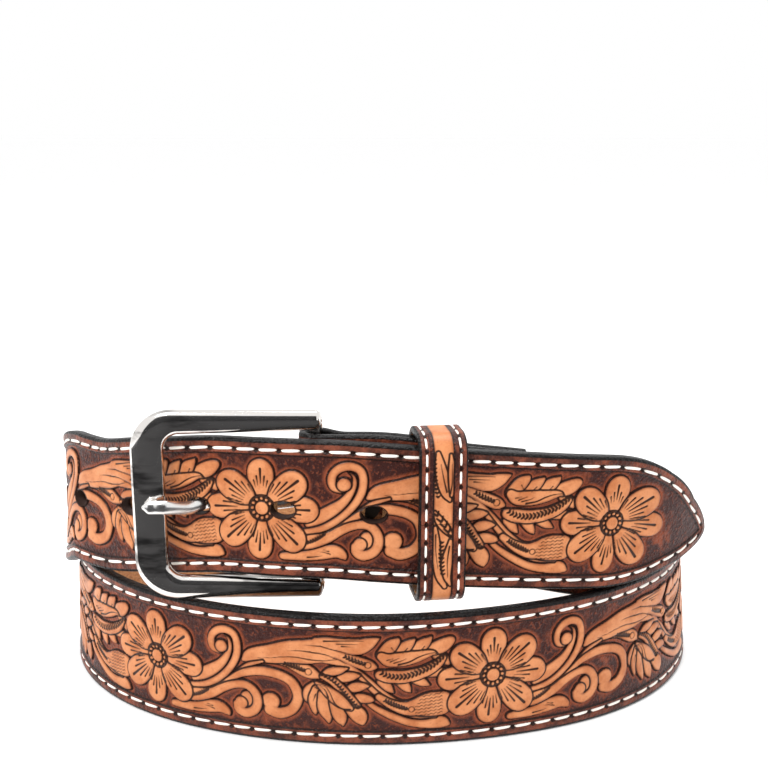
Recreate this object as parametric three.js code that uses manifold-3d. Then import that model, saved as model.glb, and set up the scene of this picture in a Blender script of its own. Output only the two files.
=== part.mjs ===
// Western tooled belt, buckled and coiled twice round, lying on its edge.
// Millimetres, +Z up. The origin is on the floor under the middle of the belt's box, and the
// front of the coil, with the buckle, faces -Y.

import * as THREE from 'three';
import { mergeVertices } from 'three/addons/utils/BufferGeometryUtils.js';
import Module from 'manifold-3d';

// Strap
const STRAP_WIDTH = 40;
const STRAP_THICKNESS = 3.6;
const FOLD_THICKNESS = 2.4;
const EDGE_ROUNDING = 0.9;
const POINT_LENGTH = 48;
const POINT_FULLNESS = 2;
const POINT_ROUNDING = 3;
const SECTION_STEP = 5.5;

// Coil
const COIL_MIDDLE_X = 1.29;
const COIL_MIDDLE_Y = 10.68;
const COIL_REACH = 106;
const LAYER_GAP = 1.8;
const FREE_END_TURN = 786.3;
const TURNS_FROM_HINGE = 2;

// Holes for the prong
const HOLE_COUNT = 5;
const HOLE_PITCH = 25.4;
const HOLE_LENGTH = 7.2;
const HOLE_HEIGHT = 5;
const TIP_TO_CENTRE_HOLE = 166.3;

// Folded buckle end
const FOLD_LENGTH = 58;
const FOLD_GAP = 0.5;
const PARED_LENGTH = 20;
const PRONG_SLOT_HEIGHT = 6.2;
const PRONG_SLOT_LENGTH = 9;
const POST_PLACES = [14, 52];
const POST_RADIUS = 2;
const POST_HEAD_RADIUS = 4.5;
const POST_HEAD_THICKNESS = 0.8;
const POST_CAP_RADIUS = 5;
const POST_CAP_THICKNESS = 1.6;

// Buckle
const HINGE_TO_HOLE = 32.6;
const HINGE_RADIUS = 2;
const FRAME_LENGTH = 53.2;
const FRAME_OVERHANG = 2;
const FRAME_HEIGHT = 55.7;
const FRAME_HEIGHT_AT_HINGE = 55;
const END_BAR_WIDTH = 9.4;
const SIDE_BAR_WIDTH = 7;
const SIDE_BAR_WIDTH_AT_HINGE = 5.6;
const FRAME_DROP = 0.75;
const FRAME_THICKNESS = 4.4;
const FRAME_CORNER_RADIUS = 12;
const FRAME_INNER_RADIUS = 4.5;
const FRAME_BEVEL = 1.1;
const HINGE_SETBACK = 3;
const END_BAR_STANDOFF = 5.5;
const PRONG_WIDTH = 4;
const PRONG_THICKNESS = 2.6;
const PRONG_REACH = 0.6;
const PRONG_TIP_SHARPNESS = 14;
const PRONG_TIP_BLUNTNESS = 0.12;
const PRONG_EYE_WALL = 2;

// Keeper
const KEEPER_PLACE = 35.4;
const KEEPER_WIDTH = 13.4;
const KEEPER_THICKNESS = 2.2;
const KEEPER_HEIGHT = 49;
const KEEPER_PLAY = 3.2;
const KEEPER_CORNER_RADIUS = 6.6;
const KEEPER_YAW = 3;
const KEEPER_ROLL = -5.5;
const KEEPER_EDGE = 0.5;

// Clearance between pieces that would touch
const CLEARANCE = 0.3;

const ROUND_SIDES = 20;

const LAYER = STRAP_THICKNESS + LAYER_GAP;
const WRAP_RADIUS = HINGE_RADIUS + 1.5 * CLEARANCE + FOLD_THICKNESS;
const FRAME_RIM = (FRAME_HEIGHT - STRAP_WIDTH) / 2 + FRAME_DROP + CLEARANCE;

// The way of the tooled face's lower edge round the coil, seen from above.
// turn: degrees from the front, growing to the right; reach: distance from the middle of the
// coil as a share of COIL_REACH; layer: strap layers added outside; lift: height of the lower
// edge as a share of STRAP_WIDTH; rim: height added, as a share of the frame's rim under the
// strap, because the frame stands on the lower turn; lean: degrees that the top leans outward.
const COIL = [
  { turn: -30, reach: 0.787, layer: -1, lift: 1, rim: 1, lean: 1.3 },
  { turn: -4, reach: 0.7315, layer: -1, lift: 1, rim: 1, lean: 1.3 },
  { turn: 15, reach: 0.738, layer: -1, lift: 1, rim: 0.6, lean: 1.1 },
  { turn: 30, reach: 0.78, layer: -1, lift: 0.99, rim: 0.3, lean: 1 },
  { turn: 45, reach: 0.855, layer: -1, lift: 0.91, rim: 0, lean: 0 },
  { turn: 60, reach: 0.918, layer: -1, lift: 0.76, rim: 0, lean: -2 },
  { turn: 90, reach: 0.955, layer: -1, lift: 0.42, rim: 0, lean: -6 },
  { turn: 120, reach: 0.865, layer: -1, lift: 0.14, rim: 0, lean: -4 },
  { turn: 150, reach: 0.657, layer: -1, lift: 0, rim: 0, lean: 0 },
  { turn: 180, reach: 0.575, layer: -1, lift: 0, rim: 0, lean: 0 },
  { turn: 210, reach: 0.657, layer: -1, lift: 0, rim: 0, lean: 0 },
  { turn: 240, reach: 0.875, layer: -1, lift: 0, rim: 0, lean: 0 },
  { turn: 270, reach: 0.972, layer: 0, lift: 0, rim: 0, lean: -3 },
  { turn: 300, reach: 0.931, layer: 0, lift: 0, rim: 0, lean: -0.6 },
  { turn: 330, reach: 0.817, layer: 0, lift: 0, rim: 0, lean: 2.8 },
  { turn: 360, reach: 0.765, layer: 0, lift: 0, rim: 0, lean: 4 },
  { turn: 390, reach: 0.807, layer: 0, lift: 0, rim: 0, lean: 1.6 },
  { turn: 420, reach: 0.927, layer: 0, lift: 0, rim: 0, lean: -2 },
  { turn: 450, reach: 0.979, layer: 0, lift: 0, rim: 0, lean: -5 },
  { turn: 480, reach: 0.885, layer: 0, lift: 0, rim: 0, lean: -4 },
  { turn: 510, reach: 0.67, layer: 0, lift: 0, rim: 0, lean: 0 },
  { turn: 540, reach: 0.585, layer: 0, lift: 0, rim: 0, lean: 0 },
  { turn: 570, reach: 0.675, layer: 0, lift: 0.14, rim: 0, lean: 0 },
  { turn: 600, reach: 0.885, layer: 0, lift: 0.35, rim: 0, lean: -3 },
  { turn: 630, reach: 0.951, layer: 1, lift: 0.69, rim: 0, lean: -6 },
  { turn: 647, reach: 0.943, layer: 1, lift: 0.905, rim: 0, lean: -6 },
  { turn: 653, reach: 0.925, layer: 1, lift: 1.008, rim: 0, lean: -5 },
  { turn: 660, reach: 0.932, layer: 0, lift: 1.01, rim: 0.05, lean: -4 },
  { turn: 675, reach: 0.852, layer: 0, lift: 1, rim: 0.6, lean: -0.4 },
  { turn: 690, reach: 0.787, layer: 0, lift: 1, rim: 0.93, lean: 1.3 },
  { turn: 708, reach: 0.743, layer: 0, lift: 1, rim: 0.96, lean: 1.3 },
  { turn: 720, reach: 0.73, layer: 0, lift: 1, rim: 0.84, lean: 1.1 },
  { turn: 735, reach: 0.738, layer: 0, lift: 1, rim: 0.62, lean: 1.1 },
  { turn: 750, reach: 0.78, layer: 0, lift: 1, rim: 0.38, lean: 1.8 },
  { turn: 765, reach: 0.866, layer: 0, lift: 1, rim: 0.09, lean: 3.1 },
  { turn: 773, reach: 0.915, layer: 0, lift: 0.945, rim: 0, lean: 3.3 },
  { turn: 780, reach: 0.956, layer: 0, lift: 0.848, rim: 0, lean: 3.4 },
  { turn: 795, reach: 1.035, layer: 0, lift: 0.69, rim: 0, lean: 2 },
];

const wasm = await Module();
wasm.setup();

// A smooth curve through rows: a natural cubic spline.
function cubicThrough(xs, ys) {
  const count = xs.length;
  const second = new Array(count).fill(0);
  const helper = new Array(count).fill(0);
  for (let i = 1; i < count - 1; i++) {
    const before = xs[i] - xs[i - 1];
    const after = xs[i + 1] - xs[i];
    const share = before / (before + after);
    const p = share * second[i - 1] + 2;
    const bend = (ys[i + 1] - ys[i]) / after - (ys[i] - ys[i - 1]) / before;
    second[i] = (share - 1) / p;
    helper[i] = ((6 * bend) / (before + after) - share * helper[i - 1]) / p;
  }
  for (let i = count - 2; i > 0; i--) {
    second[i] = second[i] * second[i + 1] + helper[i];
  }
  second[0] = 0;
  return (x) => {
    const i = rowBefore(xs, x);
    const width = xs[i + 1] - xs[i];
    const a = (xs[i + 1] - x) / width;
    const b = 1 - a;
    const bow = ((a ** 3 - a) * second[i] + (b ** 3 - b) * second[i + 1]) * (width * width) / 6;
    return a * ys[i] + b * ys[i + 1] + bow;
  };
}

// A curve through rows that never swings past them, and stays flat between equal rows.
function levelThrough(xs, ys) {
  const slopes = xs.map((x, i) => {
    if (i === 0 || i === xs.length - 1) return 0;
    const before = (ys[i] - ys[i - 1]) / (x - xs[i - 1]);
    const after = (ys[i + 1] - ys[i]) / (xs[i + 1] - x);
    return before * after <= 0 ? 0 : (2 * before * after) / (before + after);
  });
  return (x) => {
    const i = rowBefore(xs, x);
    const width = xs[i + 1] - xs[i];
    const t = (x - xs[i]) / width;
    const ease = t * t * (3 - 2 * t);
    const start = t * (1 - t) * (1 - t) * width * slopes[i];
    const end = t * t * (t - 1) * width * slopes[i + 1];
    return ys[i] * (1 - ease) + ys[i + 1] * ease + start + end;
  };
}

function rowBefore(xs, x) {
  let i = 0;
  while (i < xs.length - 2 && xs[i + 1] < x) i++;
  return i;
}

const turns = COIL.map((row) => row.turn);
const reachAt = cubicThrough(turns, COIL.map((row) => row.reach * COIL_REACH + row.layer * LAYER));
const liftAt = levelThrough(turns, COIL.map((row) => row.lift * STRAP_WIDTH + row.rim * FRAME_RIM));
const leanAt = levelThrough(turns, COIL.map((row) => THREE.MathUtils.degToRad(row.lean)));

function lowerEdgeAt(turn) {
  const angle = THREE.MathUtils.degToRad(turn);
  const lowCorner = STRAP_THICKNESS * Math.max(0, Math.sin(-leanAt(turn)));
  const x = COIL_MIDDLE_X + reachAt(turn) * Math.sin(angle);
  const y = COIL_MIDDLE_Y - reachAt(turn) * Math.cos(angle);
  return new THREE.Vector3(x, y, liftAt(turn) + lowCorner);
}

// A station on the strap: the middle of its tooled face, with the way along it, the way up
// across it and the way out of its tooled face.
function stationAtTurn(turn) {
  const small = 0.05;
  const along = lowerEdgeAt(turn + small).sub(lowerEdgeAt(turn - small)).normalize();
  const level = new THREE.Vector3(along.y, -along.x, 0).normalize();
  const up = new THREE.Vector3().crossVectors(level, along).negate();
  if (up.z < 0) up.negate();
  const lean = leanAt(turn);
  const tilted = up.clone().multiplyScalar(Math.cos(lean)).addScaledVector(level, Math.sin(lean));
  const out = level.clone().multiplyScalar(Math.cos(lean)).addScaledVector(up, -Math.sin(lean));
  const middle = lowerEdgeAt(turn).addScaledVector(tilted, STRAP_WIDTH / 2);
  return { middle, along, up: tilted, out };
}

// Length along the middle of the tooled face, in small steps of the turn.
const TURN_STEP = 0.5;
const lengths = [];
const lengthTurns = [];
let walked = 0;
let before = null;
for (let turn = turns[0]; turn <= turns[turns.length - 1] - TURN_STEP; turn += TURN_STEP) {
  const here = stationAtTurn(turn).middle;
  if (before) walked += here.distanceTo(before);
  before = here;
  lengths.push(walked);
  lengthTurns.push(turn);
}

function between(xs, ys, x) {
  const i = rowBefore(xs, x);
  return ys[i] + ((ys[i + 1] - ys[i]) * (x - xs[i])) / (xs[i + 1] - xs[i]);
}

const lengthAtTurn = (turn) => between(lengthTurns, lengths, turn);
const stationAt = (length) => stationAtTurn(between(lengths, lengthTurns, length));

const freeEnd = lengthAtTurn(FREE_END_TURN);
const centreHole = freeEnd - TIP_TO_CENTRE_HOLE;
const overHinge = centreHole + HINGE_TO_HOLE;
const hingeTurn = between(lengths, lengthTurns, overHinge) - TURNS_FROM_HINGE * 360;
const hingeStart = lengthAtTurn(hingeTurn);

// The hinge bar lies behind the buckle end's outer ply.
const hingeStation = stationAt(hingeStart);
const hingeCentre = hingeStation.middle.clone().addScaledVector(hingeStation.out, -WRAP_RADIUS);

function solidFrom(geometry) {
  const bare = new THREE.BufferGeometry();
  const source = geometry.index ? geometry.toNonIndexed() : geometry;
  bare.setAttribute('position', source.getAttribute('position').clone());
  const merged = mergeVertices(bare, 1e-4);
  const numbers = new Float32Array(merged.getAttribute('position').array);
  const triangles = new Uint32Array(merged.index.array);
  const mesh = new wasm.Mesh({ numProp: 3, vertProperties: numbers, triVerts: triangles });
  return new wasm.Manifold(mesh);
}

function geometryFrom(solid) {
  const mesh = solid.getMesh();
  const geometry = new THREE.BufferGeometry();
  geometry.setAttribute('position', new THREE.BufferAttribute(new Float32Array(mesh.vertProperties), 3));
  geometry.setIndex(new THREE.BufferAttribute(new Uint32Array(mesh.triVerts), 1));
  return geometry;
}

// Skin rings of equal point count, one after another, and close both ends. The points of a
// ring run clockwise when seen from the last ring.
function loft(rings) {
  const size = rings[0].length;
  const numbers = [];
  const faces = [];
  for (const ring of rings) for (const point of ring) numbers.push(point.x, point.y, point.z);
  for (let r = 0; r < rings.length - 1; r++) {
    for (let i = 0; i < size; i++) {
      const j = (i + 1) % size;
      const a = r * size + i;
      const b = r * size + j;
      faces.push(a, b + size, b, a, a + size, b + size);
    }
  }
  const last = (rings.length - 1) * size;
  for (let i = 1; i < size - 1; i++) {
    faces.push(0, i, i + 1);
    faces.push(last, last + i + 1, last + i);
  }
  const geometry = new THREE.BufferGeometry();
  geometry.setAttribute('position', new THREE.Float32BufferAttribute(numbers, 3));
  geometry.setIndex(faces);
  return geometry;
}

// Section of the strap at a station: a flat band with eased edges, tooled face outward.
function strapRing(station, halfWidth, thickness) {
  const ease = Math.min(EDGE_ROUNDING, halfWidth * 0.5, thickness * 0.4);
  const corners = [
    [halfWidth - ease, 0],
    [halfWidth, -ease],
    [halfWidth, ease - thickness],
    [halfWidth - ease, -thickness],
    [ease - halfWidth, -thickness],
    [-halfWidth, ease - thickness],
    [-halfWidth, -ease],
    [ease - halfWidth, 0],
  ];
  return corners.map(([across, outward]) => station.middle.clone()
    .addScaledVector(station.up, across)
    .addScaledVector(station.out, outward));
}

// Half width of the strap at a distance from the pointed end.
function halfWidthAt(fromTip) {
  const half = STRAP_WIDTH / 2;
  if (fromTip >= POINT_LENGTH) return half;
  const left = 1 - fromTip / POINT_LENGTH;
  const ogive = half * (1 - left ** POINT_FULLNESS);
  const rounding = 2 * POINT_ROUNDING * fromTip * left ** 6;
  return Math.min(half, Math.sqrt(ogive * ogive + rounding));
}

function thicknessAt(fromHinge) {
  const share = THREE.MathUtils.smoothstep(fromHinge, FOLD_LENGTH, FOLD_LENGTH + PARED_LENGTH);
  return FOLD_THICKNESS + (STRAP_THICKNESS - FOLD_THICKNESS) * share;
}

// Distance between the tooled faces of the two plies of the folded buckle end.
function plySpacing(fromHinge) {
  const share = THREE.MathUtils.smoothstep(fromHinge, 0, POST_PLACES[0] - POST_CAP_RADIUS);
  const closed = 2 * FOLD_THICKNESS + FOLD_GAP;
  return 2 * WRAP_RADIUS + (closed - 2 * WRAP_RADIUS) * share;
}

function innerPlyStation(fromHinge) {
  const outer = stationAt(hingeStart + fromHinge);
  const middle = outer.middle.clone().addScaledVector(outer.out, -plySpacing(fromHinge));
  return { middle, along: outer.along.clone().negate(), up: outer.up, out: outer.out.clone().negate() };
}

function wrapStation(angle) {
  const out = hingeStation.out.clone().multiplyScalar(Math.cos(angle))
    .addScaledVector(hingeStation.along, -Math.sin(angle));
  const middle = hingeCentre.clone().addScaledVector(out, WRAP_RADIUS);
  return { middle, up: hingeStation.up, out };
}

function evenly(from, to, step) {
  const count = Math.max(1, Math.round(Math.abs(to - from) / step));
  return Array.from({ length: count + 1 }, (_, i) => from + ((to - from) * i) / count);
}

function makeStrap() {
  const half = STRAP_WIDTH / 2;
  const rings = [];
  for (const back of evenly(FOLD_LENGTH, 0, SECTION_STEP / 2)) {
    rings.push(strapRing(innerPlyStation(back), half, FOLD_THICKNESS));
  }
  const WRAP_STEPS = 10;
  for (let i = 1; i < WRAP_STEPS; i++) {
    rings.push(strapRing(wrapStation(Math.PI * (1 - i / WRAP_STEPS)), half, FOLD_THICKNESS));
  }
  for (const length of evenly(hingeStart, freeEnd - POINT_LENGTH, SECTION_STEP)) {
    rings.push(strapRing(stationAt(length), half, thicknessAt(length - hingeStart)));
  }
  const POINT_STEPS = 12;
  for (let i = 1; i <= POINT_STEPS; i++) {
    const left = (1 - i / POINT_STEPS) ** 1.6;
    const fromTip = POINT_LENGTH * left;
    const station = stationAt(freeEnd - fromTip);
    rings.push(strapRing(station, Math.max(halfWidthAt(fromTip), CLEARANCE), STRAP_THICKNESS));
  }
  let strap = solidFrom(loft(rings));
  for (const hole of holePlaces()) strap = strap.subtract(holeTool(stationAt(hole)));
  strap = strap.subtract(prongSlotTool());
  for (const place of POST_PLACES) strap = strap.subtract(postHoleTool(place));
  return geometryFrom(strap);
}

function holePlaces() {
  const middle = (HOLE_COUNT - 1) / 2;
  return Array.from({ length: HOLE_COUNT }, (_, i) => centreHole + (i - middle) * HOLE_PITCH);
}

// Turn a geometry made round its own axes into the station's: X along, Y up, Z out.
function stationMatrix(station, origin) {
  const matrix = new THREE.Matrix4().makeBasis(station.along, station.up, station.out);
  return matrix.setPosition(origin);
}

function holeTool(station) {
  const depth = 2 * STRAP_THICKNESS + LAYER_GAP;
  const tool = new THREE.CylinderGeometry(1, 1, depth, ROUND_SIDES);
  tool.rotateX(Math.PI / 2);
  tool.scale(HOLE_LENGTH / 2, HOLE_HEIGHT / 2, 1);
  return solidFrom(tool.applyMatrix4(stationMatrix(station, station.middle)));
}

function prongSlotTool() {
  const left = WRAP_RADIUS + CLEARANCE;
  const out = WRAP_RADIUS + LAYER_GAP / 3;
  const tool = new THREE.BoxGeometry(left + PRONG_SLOT_LENGTH, PRONG_SLOT_HEIGHT, out * 2);
  tool.translate((PRONG_SLOT_LENGTH - left) / 2, 0, 0);
  return solidFrom(tool.applyMatrix4(stationMatrix(hingeStation, hingeCentre)));
}

const POST_LENGTH = 2 * FOLD_THICKNESS + FOLD_GAP + 2 * CLEARANCE;

function postStation(place) {
  return stationAt(hingeStart + place);
}

function postHoleTool(place) {
  const station = postStation(place);
  const radius = POST_RADIUS + CLEARANCE;
  const tool = new THREE.CylinderGeometry(radius, radius, POST_LENGTH, ROUND_SIDES);
  tool.rotateX(Math.PI / 2);
  const centre = station.middle.clone().addScaledVector(station.out, CLEARANCE - POST_LENGTH / 2);
  return solidFrom(tool.applyMatrix4(stationMatrix(station, centre)));
}

// A rivet: flat head under the free end, shank, and a domed cap inside the coil.
function makePost(place) {
  const outer = CLEARANCE + POST_HEAD_THICKNESS;
  const inner = CLEARANCE - POST_LENGTH;
  const dome = inner - POST_CAP_THICKNESS;
  const profile = [
    new THREE.Vector2(0, dome),
    new THREE.Vector2(POST_CAP_RADIUS * 0.6, dome + POST_CAP_THICKNESS * 0.15),
    new THREE.Vector2(POST_CAP_RADIUS * 0.9, dome + POST_CAP_THICKNESS * 0.5),
    new THREE.Vector2(POST_CAP_RADIUS, inner),
    new THREE.Vector2(POST_RADIUS, inner),
    new THREE.Vector2(POST_RADIUS, CLEARANCE),
    new THREE.Vector2(POST_HEAD_RADIUS, CLEARANCE),
    new THREE.Vector2(POST_HEAD_RADIUS, outer),
    new THREE.Vector2(0, outer),
  ];
  const lathe = new THREE.LatheGeometry(profile, ROUND_SIDES);
  lathe.rotateX(Math.PI / 2);
  const station = postStation(place);
  lathe.applyMatrix4(stationMatrix(station, station.middle));
  return geometryFrom(solidFrom(lathe));
}

// The buckle's own axes: X from the end bar to the hinge bar, Y up, Z out, origin on the
// hinge bar's middle. The end bar stands off the strap's tooled face.
function buckleAxes() {
  const reach = FRAME_LENGTH - FRAME_OVERHANG - END_BAR_WIDTH / 2;
  const under = stationAt(overHinge - reach);
  const standoff = END_BAR_STANDOFF + FRAME_THICKNESS / 2;
  const endBar = under.middle.clone().addScaledVector(under.out, standoff);
  const overBar = stationAt(overHinge);
  const up = hingeStation.up.clone();
  const hingeEnd = hingeCentre.clone().addScaledVector(overBar.out, HINGE_SETBACK)
    .addScaledVector(up, -FRAME_DROP);
  const along = hingeEnd.clone().sub(endBar);
  along.addScaledVector(up, -along.dot(up)).normalize();
  const out = new THREE.Vector3().crossVectors(along, up);
  return { along, up, out, hingeEnd };
}

function frameShape() {
  const right = FRAME_OVERHANG;
  const left = FRAME_OVERHANG - FRAME_LENGTH;
  const high = FRAME_HEIGHT / 2;
  const highRight = FRAME_HEIGHT_AT_HINGE / 2;
  const inside = high - SIDE_BAR_WIDTH;
  const insideRight = highRight - SIDE_BAR_WIDTH_AT_HINGE;
  const insideLeft = left + END_BAR_WIDTH;
  const r = FRAME_CORNER_RADIUS;
  const ri = FRAME_INNER_RADIUS;
  const re = SIDE_BAR_WIDTH_AT_HINGE / 3;
  const shape = new THREE.Shape();
  shape.moveTo(right, insideRight + re);
  shape.lineTo(right, highRight - re);
  shape.quadraticCurveTo(right, highRight, right - re, highRight);
  shape.lineTo(left + r, high);
  shape.absarc(left + r, high - r, r, Math.PI / 2, Math.PI, false);
  shape.absarc(left + r, r - high, r, Math.PI, 1.5 * Math.PI, false);
  shape.lineTo(right - re, -highRight);
  shape.quadraticCurveTo(right, -highRight, right, re - highRight);
  shape.lineTo(right, -insideRight - re);
  shape.quadraticCurveTo(right, -insideRight, right - re, -insideRight);
  shape.lineTo(insideLeft + ri, -inside);
  shape.absarc(insideLeft + ri, ri - inside, ri, 1.5 * Math.PI, Math.PI, true);
  shape.absarc(insideLeft + ri, inside - ri, ri, Math.PI, Math.PI / 2, true);
  shape.lineTo(right - re, insideRight);
  shape.quadraticCurveTo(right, insideRight, right, insideRight + re);
  return shape;
}

// Frame, hinge bar and the two lugs that carry it, cast in one.
function makeBuckleFrame() {
  const plate = new THREE.ExtrudeGeometry(frameShape(), {
    depth: FRAME_THICKNESS - 2 * FRAME_BEVEL,
    bevelEnabled: true,
    bevelThickness: FRAME_BEVEL,
    bevelSize: FRAME_BEVEL,
    bevelOffset: -FRAME_BEVEL,
    bevelSegments: 3,
    curveSegments: 8,
  });
  plate.translate(0, 0, FRAME_BEVEL - FRAME_THICKNESS / 2);
  let frame = solidFrom(plate);
  const axes = buckleAxes();
  const toHinge = hingeCentre.clone().sub(axes.hingeEnd);
  const hingeX = toHinge.dot(axes.along);
  const hingeZ = toHinge.dot(axes.out);
  const lugMiddle = FRAME_HEIGHT_AT_HINGE / 2 - SIDE_BAR_WIDTH_AT_HINGE / 2;
  const bar = new THREE.CylinderGeometry(HINGE_RADIUS, HINGE_RADIUS, 2 * lugMiddle, ROUND_SIDES);
  bar.translate(hingeX, 0, hingeZ);
  frame = frame.add(solidFrom(bar));
  const lugWidth = SIDE_BAR_WIDTH_AT_HINGE - 2 * FRAME_BEVEL;
  for (const side of [-1, 1]) {
    const lug = new THREE.BoxGeometry(2 * HINGE_RADIUS, lugWidth, Math.abs(hingeZ));
    lug.translate(hingeX, side * lugMiddle, hingeZ / 2);
    const knuckle = new THREE.CylinderGeometry(HINGE_RADIUS, HINGE_RADIUS, lugWidth, ROUND_SIDES);
    knuckle.translate(hingeX, side * lugMiddle, hingeZ);
    frame = frame.add(solidFrom(lug)).add(solidFrom(knuckle));
  }
  const matrix = new THREE.Matrix4().makeBasis(axes.along, axes.up, axes.out);
  return geometryFrom(frame).applyMatrix4(matrix.setPosition(axes.hingeEnd));
}

// The prong's way from its eye, under the free end, up through the centre hole and over the
// end bar. along: distance from the hinge bar; out: height of its middle line over the
// tooled face of the free end.
function prongLine(axes) {
  const under = -(STRAP_THICKNESS + CLEARANCE + 0.2 + PRONG_THICKNESS / 2);
  const over = (FRAME_THICKNESS + PRONG_THICKNESS) / 2 + CLEARANCE;
  const endBarEdge = FRAME_LENGTH - FRAME_OVERHANG - END_BAR_WIDTH;
  const rows = [
    { along: HINGE_TO_HOLE * 0.35, out: under - 0.6 },
    { along: HINGE_TO_HOLE * 0.7, out: under },
    { along: HINGE_TO_HOLE - HOLE_LENGTH * 0.2, out: under + 0.9 },
    { along: HINGE_TO_HOLE, out: -STRAP_THICKNESS / 2 },
    { along: HINGE_TO_HOLE + HOLE_LENGTH * 0.33, out: PRONG_THICKNESS / 2 + CLEARANCE },
  ];
  const atEye = hingeCentre.clone()
    .addScaledVector(hingeStation.along, -(HINGE_RADIUS + CLEARANCE + PRONG_EYE_WALL / 2));
  const throughStrap = rows.map((row) => {
    const station = stationAt(overHinge - row.along);
    return station.middle.clone().addScaledVector(station.out, row.out);
  });
  const overEndBar = [-0.05, 0.3, PRONG_REACH].map((share) => axes.hingeEnd.clone()
    .addScaledVector(axes.along, -(endBarEdge + END_BAR_WIDTH * share))
    .addScaledVector(axes.out, over)
    .addScaledVector(axes.up, FRAME_DROP));
  return [atEye, ...throughStrap, ...overEndBar];
}

function makeBuckleProng() {
  const axes = buckleAxes();
  const line = prongLine(axes);
  const curve = new THREE.CatmullRomCurve3(line, false, 'centripetal');
  const STEPS = 36;
  const SIDES = 12;
  const rings = [];
  for (let i = 0; i <= STEPS; i++) {
    const share = i / STEPS;
    const centre = curve.getPointAt(share);
    const tangent = curve.getTangentAt(share);
    const thick = new THREE.Vector3().crossVectors(tangent, axes.up).normalize();
    const side = new THREE.Vector3().crossVectors(thick, tangent).normalize();
    const tip = Math.min(1, Math.sqrt((1 - share) * PRONG_TIP_SHARPNESS + PRONG_TIP_BLUNTNESS));
    rings.push(Array.from({ length: SIDES }, (_, k) => {
      const angle = (-2 * Math.PI * k) / SIDES;
      return centre.clone()
        .addScaledVector(side, (Math.cos(angle) * PRONG_WIDTH * tip) / 2)
        .addScaledVector(thick, (Math.sin(angle) * PRONG_THICKNESS * tip) / 2);
    }));
  }
  const shank = solidFrom(loft(rings));
  const inner = HINGE_RADIUS + CLEARANCE;
  const outer = inner + PRONG_EYE_WALL;
  const half = PRONG_WIDTH / 2;
  const eye = new THREE.LatheGeometry([
    new THREE.Vector2(inner, -half),
    new THREE.Vector2(outer, -half),
    new THREE.Vector2(outer, half),
    new THREE.Vector2(inner, half),
    new THREE.Vector2(inner, -half),
  ], ROUND_SIDES);
  const matrix = new THREE.Matrix4().makeBasis(axes.along, axes.up, axes.out);
  eye.applyMatrix4(matrix.setPosition(hingeCentre));
  const bore = new THREE.CylinderGeometry(inner, inner, 2 * PRONG_WIDTH, ROUND_SIDES);
  bore.applyMatrix4(matrix);
  return geometryFrom(shank.add(solidFrom(eye)).subtract(solidFrom(bore)));
}

function roundedRectangle(width, height, radius) {
  const x = width / 2;
  const y = height / 2;
  const shape = new THREE.Shape();
  shape.moveTo(radius - x, -y);
  shape.lineTo(x - radius, -y);
  shape.absarc(x - radius, radius - y, radius, -Math.PI / 2, 0, false);
  shape.lineTo(x, y - radius);
  shape.absarc(x - radius, y - radius, radius, 0, Math.PI / 2, false);
  shape.lineTo(radius - x, y);
  shape.absarc(radius - x, y - radius, radius, Math.PI / 2, Math.PI, false);
  shape.lineTo(-x, radius - y);
  shape.absarc(radius - x, radius - y, radius, Math.PI, 1.5 * Math.PI, false);
  return shape;
}

// A loose closed loop round the free end and the folded buckle end.
function makeKeeper() {
  const plies = LAYER + 2 * FOLD_THICKNESS + FOLD_GAP;
  const depth = plies + KEEPER_PLAY + 2 * KEEPER_THICKNESS + 2 * CLEARANCE;
  const outline = roundedRectangle(depth, KEEPER_HEIGHT, KEEPER_CORNER_RADIUS);
  const wall = 2 * KEEPER_THICKNESS;
  const inner = roundedRectangle(depth - wall, KEEPER_HEIGHT - wall, KEEPER_CORNER_RADIUS - KEEPER_THICKNESS);
  outline.holes.push(new THREE.Path(inner.getPoints(6).reverse()));
  const loop = new THREE.ExtrudeGeometry(outline, {
    depth: KEEPER_WIDTH - 2 * KEEPER_EDGE,
    bevelEnabled: true,
    bevelThickness: KEEPER_EDGE,
    bevelSize: KEEPER_EDGE,
    bevelOffset: -KEEPER_EDGE,
    bevelSegments: 2,
    curveSegments: 6,
  });
  loop.translate(0, 0, KEEPER_EDGE - KEEPER_WIDTH / 2);
  loop.rotateY(Math.PI / 2);
  loop.rotateY(THREE.MathUtils.degToRad(KEEPER_YAW));
  loop.rotateZ(THREE.MathUtils.degToRad(-KEEPER_ROLL));
  const front = stationAt(overHinge + KEEPER_PLACE);
  const back = stationAt(hingeStart + KEEPER_PLACE);
  const centre = front.middle.clone().add(back.middle).multiplyScalar(0.5);
  centre.addScaledVector(front.out, LAYER / 2 - plies / 2);
  return loop.applyMatrix4(stationMatrix(front, centre));
}

const tan = new THREE.MeshStandardMaterial({ color: '#8f5630', roughness: 0.5, metalness: 0 });
const keeperBrown = new THREE.MeshStandardMaterial({ color: '#a5613c', roughness: 0.5, metalness: 0 });
const chrome = new THREE.MeshStandardMaterial({ color: '#d8d6d2', roughness: 0.12, metalness: 1 });
const prongChrome = new THREE.MeshStandardMaterial({ color: '#dcdad6', roughness: 0.12, metalness: 1 });
const postNickel = new THREE.MeshStandardMaterial({ color: '#c9c6c0', roughness: 0.3, metalness: 1 });

function named(name, geometry, material) {
  const mesh = new THREE.Mesh(geometry, material);
  mesh.name = name;
  return mesh;
}

const group = new THREE.Group();
group.add(named('strap', makeStrap(), tan));
group.add(named('buckle_frame', makeBuckleFrame(), chrome));
group.add(named('buckle_prong', makeBuckleProng(), prongChrome));
group.add(named('keeper', makeKeeper(), keeperBrown));
POST_PLACES.forEach((place, i) => {
  group.add(named(`fold_post_${i + 1}`, makePost(place), postNickel));
});

export default group;
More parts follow.
